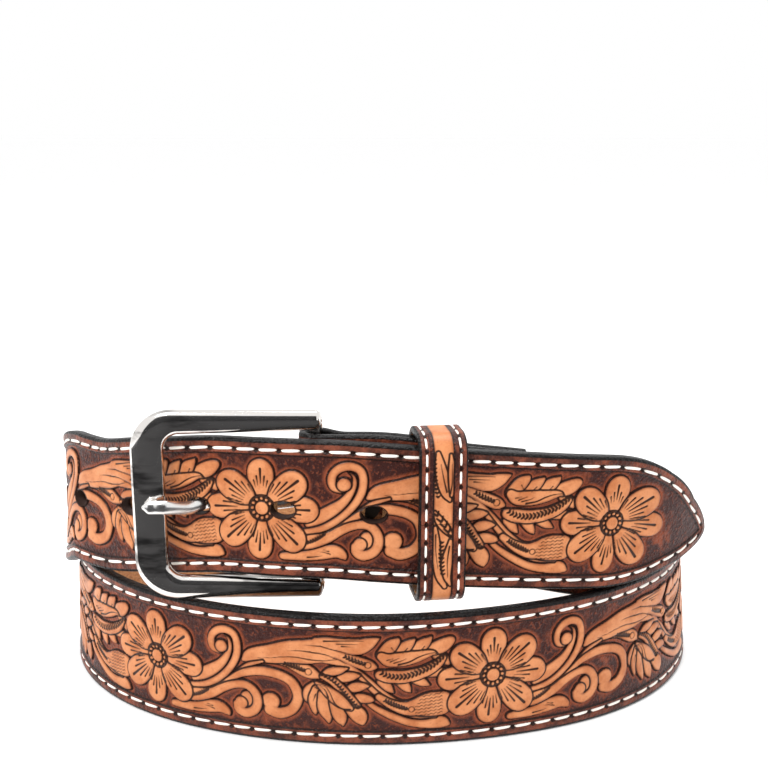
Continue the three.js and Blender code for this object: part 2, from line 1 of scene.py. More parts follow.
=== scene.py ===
# %% [markdown]
# # A western tooled belt
# The belt is one long leather strap with a chrome buckle. It is coiled twice round and lies on
# its edge. Everything here stands in the frame of the CAD model, in metres. The tables are in
# millimetres, as a saddler would write them, and are scaled when a mesh is made.

# %% Load the frame
import math
import bpy
import numpy as np
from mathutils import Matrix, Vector


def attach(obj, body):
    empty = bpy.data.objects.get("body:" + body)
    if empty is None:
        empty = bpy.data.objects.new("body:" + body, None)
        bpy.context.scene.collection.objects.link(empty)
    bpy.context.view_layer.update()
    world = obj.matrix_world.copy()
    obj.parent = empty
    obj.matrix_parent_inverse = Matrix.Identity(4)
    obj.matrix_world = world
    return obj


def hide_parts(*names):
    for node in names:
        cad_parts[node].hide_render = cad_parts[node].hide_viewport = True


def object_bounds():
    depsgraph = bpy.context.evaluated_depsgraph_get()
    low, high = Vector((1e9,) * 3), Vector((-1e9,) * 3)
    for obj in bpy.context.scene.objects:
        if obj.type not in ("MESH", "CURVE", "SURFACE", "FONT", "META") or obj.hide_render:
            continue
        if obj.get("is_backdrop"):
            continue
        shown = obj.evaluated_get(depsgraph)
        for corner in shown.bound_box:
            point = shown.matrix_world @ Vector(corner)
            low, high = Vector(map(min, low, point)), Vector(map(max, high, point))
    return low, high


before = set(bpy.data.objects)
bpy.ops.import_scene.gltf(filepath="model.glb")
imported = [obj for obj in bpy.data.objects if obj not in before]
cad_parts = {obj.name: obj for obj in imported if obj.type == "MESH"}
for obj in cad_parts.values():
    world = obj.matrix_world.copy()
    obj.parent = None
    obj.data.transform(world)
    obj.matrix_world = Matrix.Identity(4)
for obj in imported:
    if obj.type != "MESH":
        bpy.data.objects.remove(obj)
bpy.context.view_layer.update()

MM = 0.001
STRAP_WIDTH = 40.0
HALF = STRAP_WIDTH / 2
STRAP_THICKNESS = 3.6
FOLD_THICKNESS = 2.4

# %% [markdown]
# ## The way of the strap
# A saddler cuts the strap flat and it is coiled afterwards. So the coil is written as a short
# table, seen from above: how far the strap is from the middle at each turn, how high its lower
# edge lies, and how much it leans. A smooth curve joins the rows, and every mesh on the strap
# asks this curve where it has to be.

# %% The coil, row by row
# turn: degrees from the front; reach: share of COIL_REACH; layer: strap layers outside;
# lift: share of the strap's width; rim: share of the frame's rim below the strap; lean: degrees
COIL_REACH = 106.0
COIL_MIDDLE = (1.29, 10.68)
LAYER = 5.4
FRAME_RIM = 8.9
COIL = [
    (-30, .787, -1, 1, 1, 1.3), (-4, .7315, -1, 1, 1, 1.3), (15, .738, -1, 1, .6, 1.1),
    (30, .78, -1, .99, .3, 1), (45, .855, -1, .91, 0, 0), (60, .918, -1, .76, 0, -2),
    (90, .955, -1, .42, 0, -6), (120, .865, -1, .14, 0, -4), (150, .657, -1, 0, 0, 0),
    (180, .575, -1, 0, 0, 0), (210, .657, -1, 0, 0, 0), (240, .875, -1, 0, 0, 0),
    (270, .972, 0, 0, 0, -3), (300, .931, 0, 0, 0, -.6), (330, .817, 0, 0, 0, 2.8),
    (360, .765, 0, 0, 0, 4), (390, .807, 0, 0, 0, 1.6), (420, .927, 0, 0, 0, -2),
    (450, .979, 0, 0, 0, -5), (480, .885, 0, 0, 0, -4), (510, .67, 0, 0, 0, 0),
    (540, .585, 0, 0, 0, 0), (570, .675, 0, .14, 0, 0), (600, .885, 0, .35, 0, -3),
    (630, .951, 1, .69, 0, -6), (647, .943, 1, .905, 0, -6), (653, .925, 1, 1.008, 0, -5),
    (660, .932, 0, 1.01, .05, -4), (675, .852, 0, 1, .6, -.4), (690, .787, 0, 1, .93, 1.3),
    (708, .743, 0, 1, .96, 1.3), (720, .73, 0, 1, .84, 1.1), (735, .738, 0, 1, .62, 1.1),
    (750, .78, 0, 1, .38, 1.8), (765, .866, 0, 1, .09, 3.1), (773, .915, 0, .945, 0, 3.3),
    (780, .956, 0, .848, 0, 3.4), (795, 1.035, 0, .69, 0, 2),
]


def natural_spline(xs, ys):
    """A natural cubic spline through the rows."""
    n = len(xs)
    h = np.diff(xs)
    matrix = np.eye(n)
    right = np.zeros(n)
    for i in range(1, n - 1):
        matrix[i, i - 1:i + 2] = h[i - 1], 2 * (h[i - 1] + h[i]), h[i]
        right[i] = 6 * ((ys[i + 1] - ys[i]) / h[i] - (ys[i] - ys[i - 1]) / h[i - 1])
    second = np.linalg.solve(matrix, right)

    def at(x):
        i = np.clip(np.searchsorted(xs, x) - 1, 0, n - 2)
        b = (x - xs[i]) / h[i]
        a = 1 - b
        bow = ((a**3 - a) * second[i] + (b**3 - b) * second[i + 1]) * h[i]**2 / 6
        return a * ys[i] + b * ys[i + 1] + bow
    return at


def level_curve(xs, ys):
    """A curve that never swings past its rows."""
    n = len(xs)
    secant = np.diff(ys) / np.diff(xs)
    slope = np.zeros(n)
    for i in range(1, n - 1):
        if secant[i - 1] * secant[i] > 0:
            slope[i] = 2 * secant[i - 1] * secant[i] / (secant[i - 1] + secant[i])

    def at(x):
        i = np.clip(np.searchsorted(xs, x) - 1, 0, n - 2)
        w = xs[i + 1] - xs[i]
        t = (x - xs[i]) / w
        ease = t * t * (3 - 2 * t)
        return (ys[i] * (1 - ease) + ys[i + 1] * ease + t * (1 - t)**2 * w * slope[i]
                + t * t * (t - 1) * w * slope[i + 1])
    return at


rows = np.array(COIL, float)
reach_at = natural_spline(rows[:, 0], rows[:, 1] * COIL_REACH + rows[:, 2] * LAYER)
lift_at = level_curve(rows[:, 0], rows[:, 3] * STRAP_WIDTH + rows[:, 4] * FRAME_RIM)
lean_at = level_curve(rows[:, 0], np.radians(rows[:, 5]))


def unit(v):
    return v / np.linalg.norm(v, axis=-1, keepdims=True)


def lower_edge(turn):
    angle = np.radians(turn)
    low_corner = STRAP_THICKNESS * np.maximum(0, np.sin(-lean_at(turn)))
    return np.stack([COIL_MIDDLE[0] + reach_at(turn) * np.sin(angle),
                     COIL_MIDDLE[1] - reach_at(turn) * np.cos(angle),
                     lift_at(turn) + low_corner], -1)


def stations_at_turn(turn):
    """Middle of the tooled face, way along, way up across it and way out of it."""
    turn = np.atleast_1d(np.asarray(turn, float))
    along = unit(lower_edge(turn + 0.05) - lower_edge(turn - 0.05))
    level = unit(np.stack([along[:, 1], -along[:, 0], 0 * turn], -1))
    up = np.cross(level, along)
    lean = lean_at(turn)[:, None]
    tilted = up * np.cos(lean) + level * np.sin(lean)
    out = level * np.cos(lean) - up * np.sin(lean)
    return lower_edge(turn) + tilted * HALF, along, tilted, out


turn_steps = np.arange(-30, 794.6, 0.5)
middles = stations_at_turn(turn_steps)[0]
walked = np.concatenate([[0], np.cumsum(np.linalg.norm(np.diff(middles, axis=0), axis=1))])


def length_at(turn):
    return float(np.interp(turn, turn_steps, walked))


def turn_at(length):
    return np.interp(length, walked, turn_steps)


def stations(length):
    return stations_at_turn(turn_at(np.atleast_1d(length)))


FREE_END_TURN = 786.3
TIP_TO_CENTRE_HOLE = 166.3
HINGE_TO_HOLE = 32.6
FREE_END = length_at(FREE_END_TURN)
CENTRE_HOLE = FREE_END - TIP_TO_CENTRE_HOLE
OVER_HINGE = CENTRE_HOLE + HINGE_TO_HOLE
HINGE_TURN = float(turn_at(OVER_HINGE)) - 720
HINGE_START = length_at(HINGE_TURN)
WRAP_RADIUS = 4.85
hinge = [a[0] for a in stations(HINGE_START)]
hinge_centre = hinge[0] - hinge[3] * WRAP_RADIUS
STRAP_LENGTH = FREE_END - HINGE_START
print("strap from hinge bar to point:", round(STRAP_LENGTH, 1), "mm")

# %% [markdown]
# ## The tooling pattern
# The saddler traces one repeat of the flower-and-scroll pattern on damp leather, cuts its lines
# with a swivel knife, presses the ground down beside them with a beveller and stamps veins and
# seeds. The chart below does the same: each row is a short stroke with a width, drawn from the
# lowest leaf to the topmost. A stroke lifts its own inside and presses down what lies beside it.

# %% Chart of one repeat
# A repeat runs from flower to flower. Points are (along, across, width) in chart millimetres.
# Strokes in an inner list of their own grow out of one another and share one outline.
REPEAT = 101.35
CHART = 102.7
LEAVES = [
    # ribbon leaf at the lower border, and the fan of long stems
    [(5.7, -13.6, 2.2), (12.8, -13.2, 3), (17.5, -12.2, 4), (21.5, -11.6, 3.9), (24, -12.6, 2.6),
     (24.8, -13.8, .6)],
    [(36, 4.6, 1), (40, 5, 1.6), (43.8, 4.7, 2.6), (49, 2.9, 4.2), (52.2, 1.4, 2)],
    [[(30, 4.6, 1.4), (32.8, 6.3, 4.6), (38.7, 7.5, 6), (43.8, 8.6, 7), (49, 9, 7.6), (54.2, 9.8, 7.6)],
     [(52, 7.6, 3), (55, 7, 2.9), (58.3, 6, 2.4), (62, 4, 2.2), (66, .8, 2.2), (69, -2.2, 2.2),
      (72.5, -5, 2.1), (76, -6.6, 1.6), (79.5, -6.2, .6)],
     [(52, 10.2, 2.6), (55, 9.6, 2.7), (59.4, 8, 2.7), (63.75, 6.3, 3.6), (66.5, 5.3, 3.6),
      (68.5, 4.8, 1.4)],
     [(52, 12.1, 3.2), (55, 12.2, 3.4), (59.4, 11.5, 4.4), (63.5, 11.1, 5), (66.3, 12, 4),
      (68.6, 13.2, 1.8), (69.8, 13.8, .3)]],
    # middle stem, top scroll with its inner stem and eye
    [(11, -8, 3), (15, -7, 2.6), (19.7, -5.4, 2), (23.1, -3.4, 1.7), (26.2, -1.2, 1.5),
     (29, 1.2, 1.6), (31.8, 3.3, 1.6), (36, 4.8, .9)],
    [(13.5, -3.8, 2.4), (17, -1.7, 4), (20, .2, 3.8), (22.8, 2.4, 3), (24.9, 5.2, 2.2),
     (26, 8.2, 1.5), (25.7, 10.4, .9), (24.3, 11.6, .3)],
    [(8, -6.8, 2), (12.1, -6.3, 2), (16.9, -5.2, 2.1), (21.1, -3, 2.3), (24.2, -.3, 2.3),
     (26.6, 2.8, 2.4), (28.1, 6.2, 2.5), (28.3, 9.7, 2.5), (27.3, 12.3, 2.5), (24.9, 13.3, 2.6),
     (22.4, 12.8, 2.6), (20.55, 11.1, 2.4), (20, 9, 2.4), (20.6, 7, 2.2), (22.4, 6.2, 1.8)],
    [(23.2, 7.9, 3.8), (23.3, 8, 3.9)],
    # the two lower scrolls and their eyes
    [[(37.8, -7.4, 5.2), (38.2, -7.4, 5.2)], [(20.4, -6.3, 1.2), (25.2, -2.5, 1.9), (28.3, -.3, 2.3),
     (31.8, 1.1, 2.8), (35.2, 1.75, 3), (38, 1.6, 3), (41.4, .9, 3), (44.2, -.65, 3.1),
     (45.7, -3.1, 3.2), (46.1, -5.8, 3.2), (45.2, -8.2, 3.3), (43.5, -10, 3.4), (40.4, -11, 3.7),
     (37.6, -10.2, 3.8)]],
    [(30.6, -7.2, 4), (30.9, -8.2, 4.4)],
    [[(28.7, -9, 3.8), (28.9, -9.1, 3.8)], [(8, -10.2, 3.4), (12.8, -9.3, 4.2), (16.2, -8.5, 3.8),
     (19.7, -7.4, 3.1), (23.1, -5.3, 2.8), (26.6, -3.7, 2.6), (30, -3.2, 2.7), (32.4, -4.3, 2.8),
     (33.8, -6.5, 2.9), (33.8, -9.3, 3), (32.4, -11.3, 3.1), (30, -12.2, 3.2), (28, -11.3, 3.2),
     (27.5, -9.8, 2.8)]],
    # pod, its stems and the band leaf below it
    [(66.5, -6.6, 1.6), (69.2, -8.5, 2), (73.3, -10.8, 2.3), (78.3, -12.9, 2.4), (83.3, -13.6, 2.8),
     (87.5, -13.2, 3.8), (89.6, -13.9, 1.6)],
    [(63.5, 2.2, 1.4), (67.5, -2.2, 1.6), (70.5, -5, 1.6), (75, -8.8, 1.4), (80, -11.1, 1.2),
     (86, -11.3, 1)],
    [(69.5, -4.6, 2.2), (73, -6.9, 3), (77, -8.3, 4.2), (80.5, -8, 5.6), (84, -7.4, 7.6),
     (87.5, -7.2, 7.6)],
    # lower leaf: lobes from the outside in, then its rib and its long petal
    [(50.7, -1.3, 2), (49.5, -3.1, 3.4), (48.8, -5.1, 2.4), (48.7, -7, .3)],
    [(51.5, -2.5, 2.4), (51, -6, 3.8), (51, -9, 2.2), (51.2, -10.8, .3)],
    [(53.5, -4, 3), (54, -8.5, 4.4), (54.9, -11.8, 2), (55, -13.3, .3)],
    [(56.6, -6.5, 3), (58.2, -10.6, 4.2), (59, -13, 1.6), (59, -14.1, .3)],
    [(61, -8.3, 3), (63.6, -10.3, 5), (64.6, -12.4, 2.4), (64.7, -13.5, .3)],
    [(62.1, -5.2, 2), (64.2, -5, 3.2), (66.7, -5.2, 2.4), (68.3, -5.6, .3)],
    [(60.4, -2.25, 1.5), (62.5, -1.6, 3.2), (64.6, -1.2, 2.6), (66.8, -1, .4)],
    [(57.1, .25, 1), (59.2, 1.3, 3), (61.7, 1.9, 2.8), (63.7, 2.2, 1), (64.3, 2.3, .3)],
    [(53.3, 2.1, .8), (55.4, 3, 2.8), (57.9, 3.6, 2.6), (60, 4.2, 1.2), (60.9, 4.5, .3)],
    [(53.3, 1.5, 1.5), (56.3, .2, 2.6), (58.8, -2.2, 3), (61, -4.8, 2.8), (63.3, -7.2, 2)],
    [(51.6, -.4, 1), (54.2, -2.4, 2.8), (57, -4.8, 4), (59.4, -6.8, 3.4), (61.4, -8.2, 1.6)],
    # upper leaf: lobes, rib and the long petal with its vein
    [(70.5, .5, 3.4), (72.2, -1.6, 2.6), (73.9, -3.4, .3)],
    [(75.5, .5, 3.4), (77.3, -1.6, 2.8), (78.7, -3.4, .3)],
    [(79.8, .8, 3), (82, -.3, 2.6), (84.3, -1.4, .3)],
    [(83, 2.6, 3), (87, 2.6, 2.8), (90.3, 2.9, .3)],
    [(86, 8, 3), (88.3, 6.4, 3), (89.4, 5, 1.2)],
    [(83, 9.4, 3), (87, 10.6, 4.6), (89.5, 12, 3.2), (90.8, 12.6, .8)],
    [(78.8, 9, 4), (81.7, 11.4, 3.8), (83.8, 13.1, 1.6), (84.4, 13.9, .3)],
    [(74.5, 8.8, 4), (77, 11, 3.6), (79, 12.7, 1.6), (79.7, 13.4, .3)],
    [(70.6, 8.5, 4), (72.7, 11.3, 4), (74.6, 12.9, 2), (75, 13.6, .3)],
    [(69.8, 2.4, 3), (72.5, 1.9, 4), (77, 1.8, 4), (82, 2.9, 3.6), (86, 5, 3), (88, 7, 1.6)],
    [(70.2, 8.2, 2.6), (72.3, 7, 4), (76.5, 7.2, 4.4), (81, 8, 3.4), (84.5, 8.8, 1.8), (86, 8.2, .5)],
]

# Knife cuts and stem lines: width at the start, then the points; each thins towards its end.
CUTS = [
    (.5, [(13, -13.6), (15.2, -13.4), (17.3, -13)]), (.4, [(20, -12.5), (18, -12), (16.2, -11.7)]),
    (.35, [(19.5, -11.6), (17.6, -11.2)]),
    (.42, [(50, 6.6), (46, 7.1), (42, 6.9), (38.7, 6.3), (34.5, 5.8)]), (.42, [(50, 6.6),
     (54.2, 6.6), (58, 7), (60.5, 5.6)]),
    (.45, [(50, 9), (47.3, 9.2), (43.5, 9)]), (.45, [(50, 9), (54.2, 8.5), (58, 7), (60, 5.8)]),
    (.42, [(53, 11), (50, 11.1), (48.3, 11.1)]), (.42, [(53, 11), (59.4, 9.3), (62.5, 8.5), (66, 7.8)]),
    (.5, [(54, 12.65), (60, 12.85), (65.2, 12.9)]), (.4, [(57.7, 11.9), (61, 11.95), (63.7, 12.05)]),
    (.4, [(59, 11.2), (62.5, 11.05)]), (.3, [(14, -6.9), (19, -5.8), (23, -4)]),
    (.55, [(75, 5.6), (78, 6.3), (80.5, 7.6), (83, 8.5), (85.3, 8.75), (86, 8.1)]),
    (.4, [(71.7, 7), (73.5, 7.5)]), (.4, [(72.7, 6.5), (75.4, 7.7)]), (.4, [(73.7, 6.1), (76, 6.8),
     (77.2, 7.5)]),
    (.55, [(61.3, -8.5), (59, -8.5), (57.3, -7.3), (56.3, -5.6), (55.4, -3.2), (54, -1.4), (51.7, -1)]),
    (.5, [(55, -5), (54.2, -2.8), (52.6, -1.3)]), (.45, [(51.9, -2.5), (50.6, -1.5)]),
     (.4, [(51.3, -4.2), (50.6, -6.4)]),
    (.35, [(73, 11), (74, 9.3)]), (.35, [(77.6, 10.6), (76.2, 8.9)]), (.35, [(82.4, 11), (81.4, 9.6)]),
]

# Rows of small stamps: count, length, slant in degrees, bow, then the line they stand on.
STAMPS = [
    (8, 1.1, 62, .25, [(13.2, -9.2), (15.6, -8.1), (18, -6.6)]),
    (8, 1.3, 75, .4, [(42.4, 4.9), (45, 4.3), (47.9, 3.3)]),
    (7, 1.4, 80, .45, [(59.8, 8.2), (62.5, 7), (65.2, 6)]),
    (18, 1.8, 84, .35, [(70.2, 3.2), (72, 2.3), (75, 1.8), (78, 2.1), (81, 3.2), (84.5, 4.8),
     (87.4, 7.2)]),
    (15, 1.1, 70, .3, [(53.4, 2.2), (55.6, 1.1), (57.9, -.8), (60, -3.5), (61.7, -5.6), (63.4, -7.6)]),
    (9, 1.3, 78, .4, [(71.2, -5.5), (74, -7), (77.2, -8.3)]),
]
RINGS = [(49.4, 2.8, 2), (66.4, 5.5, 1.9), (78.9, -8.6, 1.7), (63.2, -7.6, 1.1)]

# Petals of the flower round its middle: length from, length to, width, way in degrees
MIDDLE = (0.1, 0.2)
PETALS = [
    (3, 16.4, 7.6, 0), (3, 16.6, 7.4, 180), (3, 13.6, 7.8, 90), (3, 14.8, 7.4, 265),
    (2.6, 15.2, 8.6, 38), (2.6, 14.6, 8.4, 143), (2.6, 15.6, 8.8, 220), (2.6, 15.8, 8.4, 315),
]

# %% [markdown]
# ## Pressing the pattern into the leather
# The strokes are drawn on a fine grid that covers one repeat. Three values are kept for each
# point: how deep it is pressed, how far inside a leaf it lies, and how dark the cut is there.
# The finish later colours the leather from the last two, as dye and antique paste settle in cuts;
# the dark also holds painted shade in the cuts and at the foot of each leaf.

# %% Draw the repeat on a grid
GRID_STEP = 0.15
BAND = 15.6
GROUND_DEPTH = 0.5
grid_u = np.arange(0, CHART, GRID_STEP)
grid_v = np.arange(-BAND - 0.6, BAND + 0.6, GRID_STEP)
depth = np.full((len(grid_v), len(grid_u)), -GROUND_DEPTH)
inside = np.full(depth.shape, -9.0)
CLEAR = -0.6
dark = np.full(depth.shape, CLEAR)


def smooth(points, pieces=5):
    """Points of a Catmull-Rom curve through a short list."""
    p = np.array(points, float)
    if len(p) < 3:
        return p
    p = np.vstack([2 * p[0] - p[1], p, 2 * p[-1] - p[-2]])
    t = np.arange(pieces)[:, None] / pieces
    parts = []
    for i in range(1, len(p) - 2):
        a, b, c, d = p[i - 1:i + 3]
        parts.append(0.5 * (2 * b + (c - a) * t + (2 * a - 5 * b + 4 * c - d) * t**2
                            + (3 * b - a - 3 * c + d) * t**3))
    return np.vstack([*parts, p[-2]])


def stroke_distance(points, us, vs):
    """How far inside a stroke of changing width each grid point lies."""
    best = np.full((len(vs), len(us)), -9.0)
    gu, gv = np.meshgrid(us, vs)
    for a, b in zip(points[:-1], points[1:]):
        du, dv = b[0] - a[0], b[1] - a[1]
        t = np.clip(((gu - a[0]) * du + (gv - a[1]) * dv) / max(du * du + dv * dv, 1e-9), 0, 1)
        far = np.hypot(gu - a[0] - t * du, gv - a[1] - t * dv)
        best = np.maximum(best, (a[2] + (b[2] - a[2]) * t) / 2 - far)
    return best


def draw(points, tool, reach=2.2, pieces=5):
    """Run a tool over the grid near one stroke, or near several that share one outline."""
    strokes = points if isinstance(points[0], list) else [points]
    lines = [smooth(stroke, pieces) for stroke in strokes]
    for shift in (-CHART, 0, CHART):
        moved = [line + np.array([shift, 0, 0]) for line in lines]
        everything = np.vstack(moved)
        wide = reach + everything[:, 2].max() / 2
        i0, i1 = np.searchsorted(grid_u, (everything[:, 0].min() - wide, everything[:, 0].max() + wide))
        j0, j1 = np.searchsorted(grid_v, (everything[:, 1].min() - wide, everything[:, 1].max() + wide))
        if i1 > i0 and j1 > j0:
            part = (slice(j0, j1), slice(i0, i1))
            tool(part, np.max([stroke_distance(m, grid_u[i0:i1], grid_v[j0:j1]) for m in moved], 0))


def leaf_tool(part, far):
    over = far > 0
    depth[part] = np.where(over, -0.15 * np.exp(-np.maximum(far, 0) / 0.5),
                           np.maximum(depth[part] - 0.42 * np.exp(np.minimum(far, 0) / 0.7), -0.8))
    dark[part] = np.where(over, CLEAR, dark[part])
    # A dark line just outside each leaf: the knife's outline cut with paste, and painted shade where the ground
    # meets the raised leaf.
    dark[part] = np.maximum(dark[part], np.maximum(0.26 - np.abs(far + 0.1), CLEAR))
    inside[part] = np.maximum(inside[part], far)


def cut_tool(part, far):
    depth[part] -= 0.35 * np.clip(0.5 + far / 0.25, 0, 1)
    dark[part] = np.maximum(dark[part], np.maximum(far, CLEAR))


def draw_cut(width, points):
    n = len(points)
    draw([(u, v, width * (1 - 0.65 * i / (n - 1))) for i, (u, v) in enumerate(points)], cut_tool, 0.5)


def draw_ring(u, v, size):
    turns = np.linspace(0, 2 * np.pi, 13)
    draw([(u + size / 2 * np.cos(a), v + size / 2 * np.sin(a), 0.3) for a in turns], cut_tool, 0.5, 1)


def draw_stamps(count, length, slant, bow, line):
    """Small bowed cuts across a line, evenly spaced."""
    path = smooth(line)
    run = np.concatenate([[0], np.cumsum(np.hypot(*np.diff(path, axis=0).T))])
    for k in range(count):
        at = run[-1] * k / (count - 1)
        u, v = np.interp(at, run, path[:, 0]), np.interp(at, run, path[:, 1])
        u2, v2 = np.interp(at + 0.3, run, path[:, 0]), np.interp(at + 0.3, run, path[:, 1])
        way = math.atan2(v2 - v, u2 - u) if at < run[-1] - 0.3 else way
        c, s = math.cos(way + math.radians(slant)), math.sin(way + math.radians(slant))
        share = length * (0.75 + 0.25 * math.sin(math.pi * k / (count - 1)))
        bend = bow * share
        draw([(u - c * share / 2, v - s * share / 2, .54), (u + s * bend, v - c * bend, .7),
              (u + c * share / 2, v + s * share / 2, .42)], cut_tool, 0.5, 3)


def draw_petal(start, end, width, way):
    c, s = math.cos(math.radians(way)), math.sin(math.radians(way))
    long = end - start
    shape = [(0, .22), (.2, .55), (.45, .93), (.7, 1), (.88, .8), (1 - width * .2 / long, .4)]
    draw([(MIDDLE[0] + c * (start + long * t), MIDDLE[1] + s * (start + long * t), width * w)
          for t, w in shape if t < .8] +
         [(MIDDLE[0] + c * (end - width * .36), MIDDLE[1] + s * (end - width * .36), width * .72)], leaf_tool)


# Cuts of a petal: degrees beside its middle, outer end, inner end, width
BIG_FAN = [(0, 14.2, 6.0, .86), (8, 11.2, 5.8, .58), (-8, 11.2, 5.8, .58), (16, 9.8, 5.6, .52), (-16, 9.8, 5.6, .52),
           (24, 8.2, 5.4, .46), (-24, 8.2, 5.4, .46)]
SMALL_FAN = [(0, 12.6, 7.2, .78), (7, 10.4, 6.6, .54), (-7, 10.4, 6.6, .54),
             (14, 9.2, 6.2, .48), (-14, 9.2, 6.2, .48)]


def draw_petal_cuts(start, end, width, way):
    """A long cut in the middle of the petal and shorter ones fanned beside it."""
    big = width > 8
    reach = end / (15.4 if big else 15.0)
    for side, far, near, thick in BIG_FAN if big else SMALL_FAN:
        a = math.radians(way + side)
        far = min(far * reach, end - 1.6)
        draw_cut(thick, [(MIDDLE[0] + math.cos(a) * r, MIDDLE[1] + math.sin(a) * r)
                         for r in (far, (far + near) / 2, near)])


def draw_flower():
    for petal in PETALS:
        draw_petal(*petal)
    for petal in PETALS:
        draw_petal_cuts(*petal)
    u0, v0 = MIDDLE
    draw([(u0, v0, 7.4), (u0 + .01, v0, 7.4)], leaf_tool)
    for a in np.arange(12) * math.pi / 6:
        x, y = u0 + 2.8 * math.cos(a), v0 + 2.8 * math.sin(a)
        draw([(x, y, 1.15), (x + .01, y, 1.15)], leaf_tool, 0.5)
    draw([(u0, v0, 4), (u0 + .01, v0, 4)], leaf_tool, 0.6)


# the last flower near the point stands alone, so it is drawn once without the scrolls
draw_flower()
alone = {"depth": depth.copy(), "inside": inside.copy(), "dark": dark.copy()}
depth[:], inside[:], dark[:] = -GROUND_DEPTH, -9.0, CLEAR
for leaf in LEAVES:
    draw(leaf, leaf_tool)
for width, points in CUTS:
    draw_cut(width, points)
for row in STAMPS:
    draw_stamps(*row)
for ring in RINGS:
    draw_ring(*ring)
# wavy lines across the pod
for k in range(7):
    level = -4.4 - 1.0 * k
    start = 80 + max(0, 3 - k) * .6
    waves = [(u, level + 0.22 * math.sin(u * 4.4) + (u - 84) * .12, .24)
             for u in np.arange(start, 88.2, .35)]
    draw(waves, cut_tool, 0.5, 1)
draw_flower()
whole = {"depth": depth, "inside": inside, "dark": dark}
print("repeat drawn:", depth.shape, "deepest", round(float(depth.min()), 2), "mm")


LAST_PETAL_SHARE = 0.78


def sample(name, u, v):
    """Value of the pattern at any place on the strap; u runs from the last flower to the point."""
    stretched = np.where(u > 4, 4 + (u - 4) * LAST_PETAL_SHARE, u)
    return np.where(u > 0, look_up(alone[name], stretched, v), look_up(whole[name], u, v))


def look_up(field, u, v):
    x = (u * CHART / REPEAT) % CHART / GRID_STEP
    y = np.clip((v - grid_v[0]) / GRID_STEP, 0, len(grid_v) - 1.001)
    i, j = np.floor(x).astype(int) % len(grid_u), np.floor(y).astype(int)
    i2, fx, fy = (i + 1) % len(grid_u), x - np.floor(x), y - j
    return ((field[j, i] * (1 - fx) + field[j, i2] * fx) * (1 - fy)
            + (field[j + 1, i] * (1 - fx) + field[j + 1, i2] * fx) * fy)

# %% [markdown]
# ## The strap
# The strap is one closed skin: the tooled face, two rounded painted edges and the plain flesh
# side. Sections are set along the coil, close together where the pattern is seen best. The
# point, the holes and the stitch grooves belong to the same skin.

# %% Sections of the strap
POINT_LENGTH = 48.0
FLOWER_FROM_TIP = 45.75
STITCH_INSET = 2.9
BORDER_INSET = 4.3
STITCH_PITCH = 6.4
HOLE_PITCH = 25.4
HOLES = [CENTRE_HOLE + HOLE_PITCH * i for i in (-2, -1, 0, 1, 2)]
HOLE_LENGTH = 7.2
HOLE_HEIGHT = 5.0


def half_width(from_tip):
    left = 1 - np.minimum(from_tip, POINT_LENGTH) / POINT_LENGTH
    ogive = HALF * (1 - left**2)
    return np.minimum(HALF, np.sqrt(ogive**2 + 6 * from_tip * left**6))


def ease(t):
    t = np.clip(t, 0, 1)
    return t * t * (3 - 2 * t)


# from and to: distance from the point; step along the strap
coarse = 1
STRETCHES = [(0.3, 12, .3), (12, 300, .28), (300, 560, 1), (560, 860, .28), (860, STRAP_LENGTH, 1.6)]
from_tip = np.concatenate([np.linspace(a, b, int((b - a) / (s * coarse)), endpoint=False)
                           for a, b, s in STRETCHES] + [[STRAP_LENGTH]])
FACE_COLUMNS = int(112 / coarse)
ROUNDING = 0.9
across = np.linspace(1, -1, FACE_COLUMNS + 1)


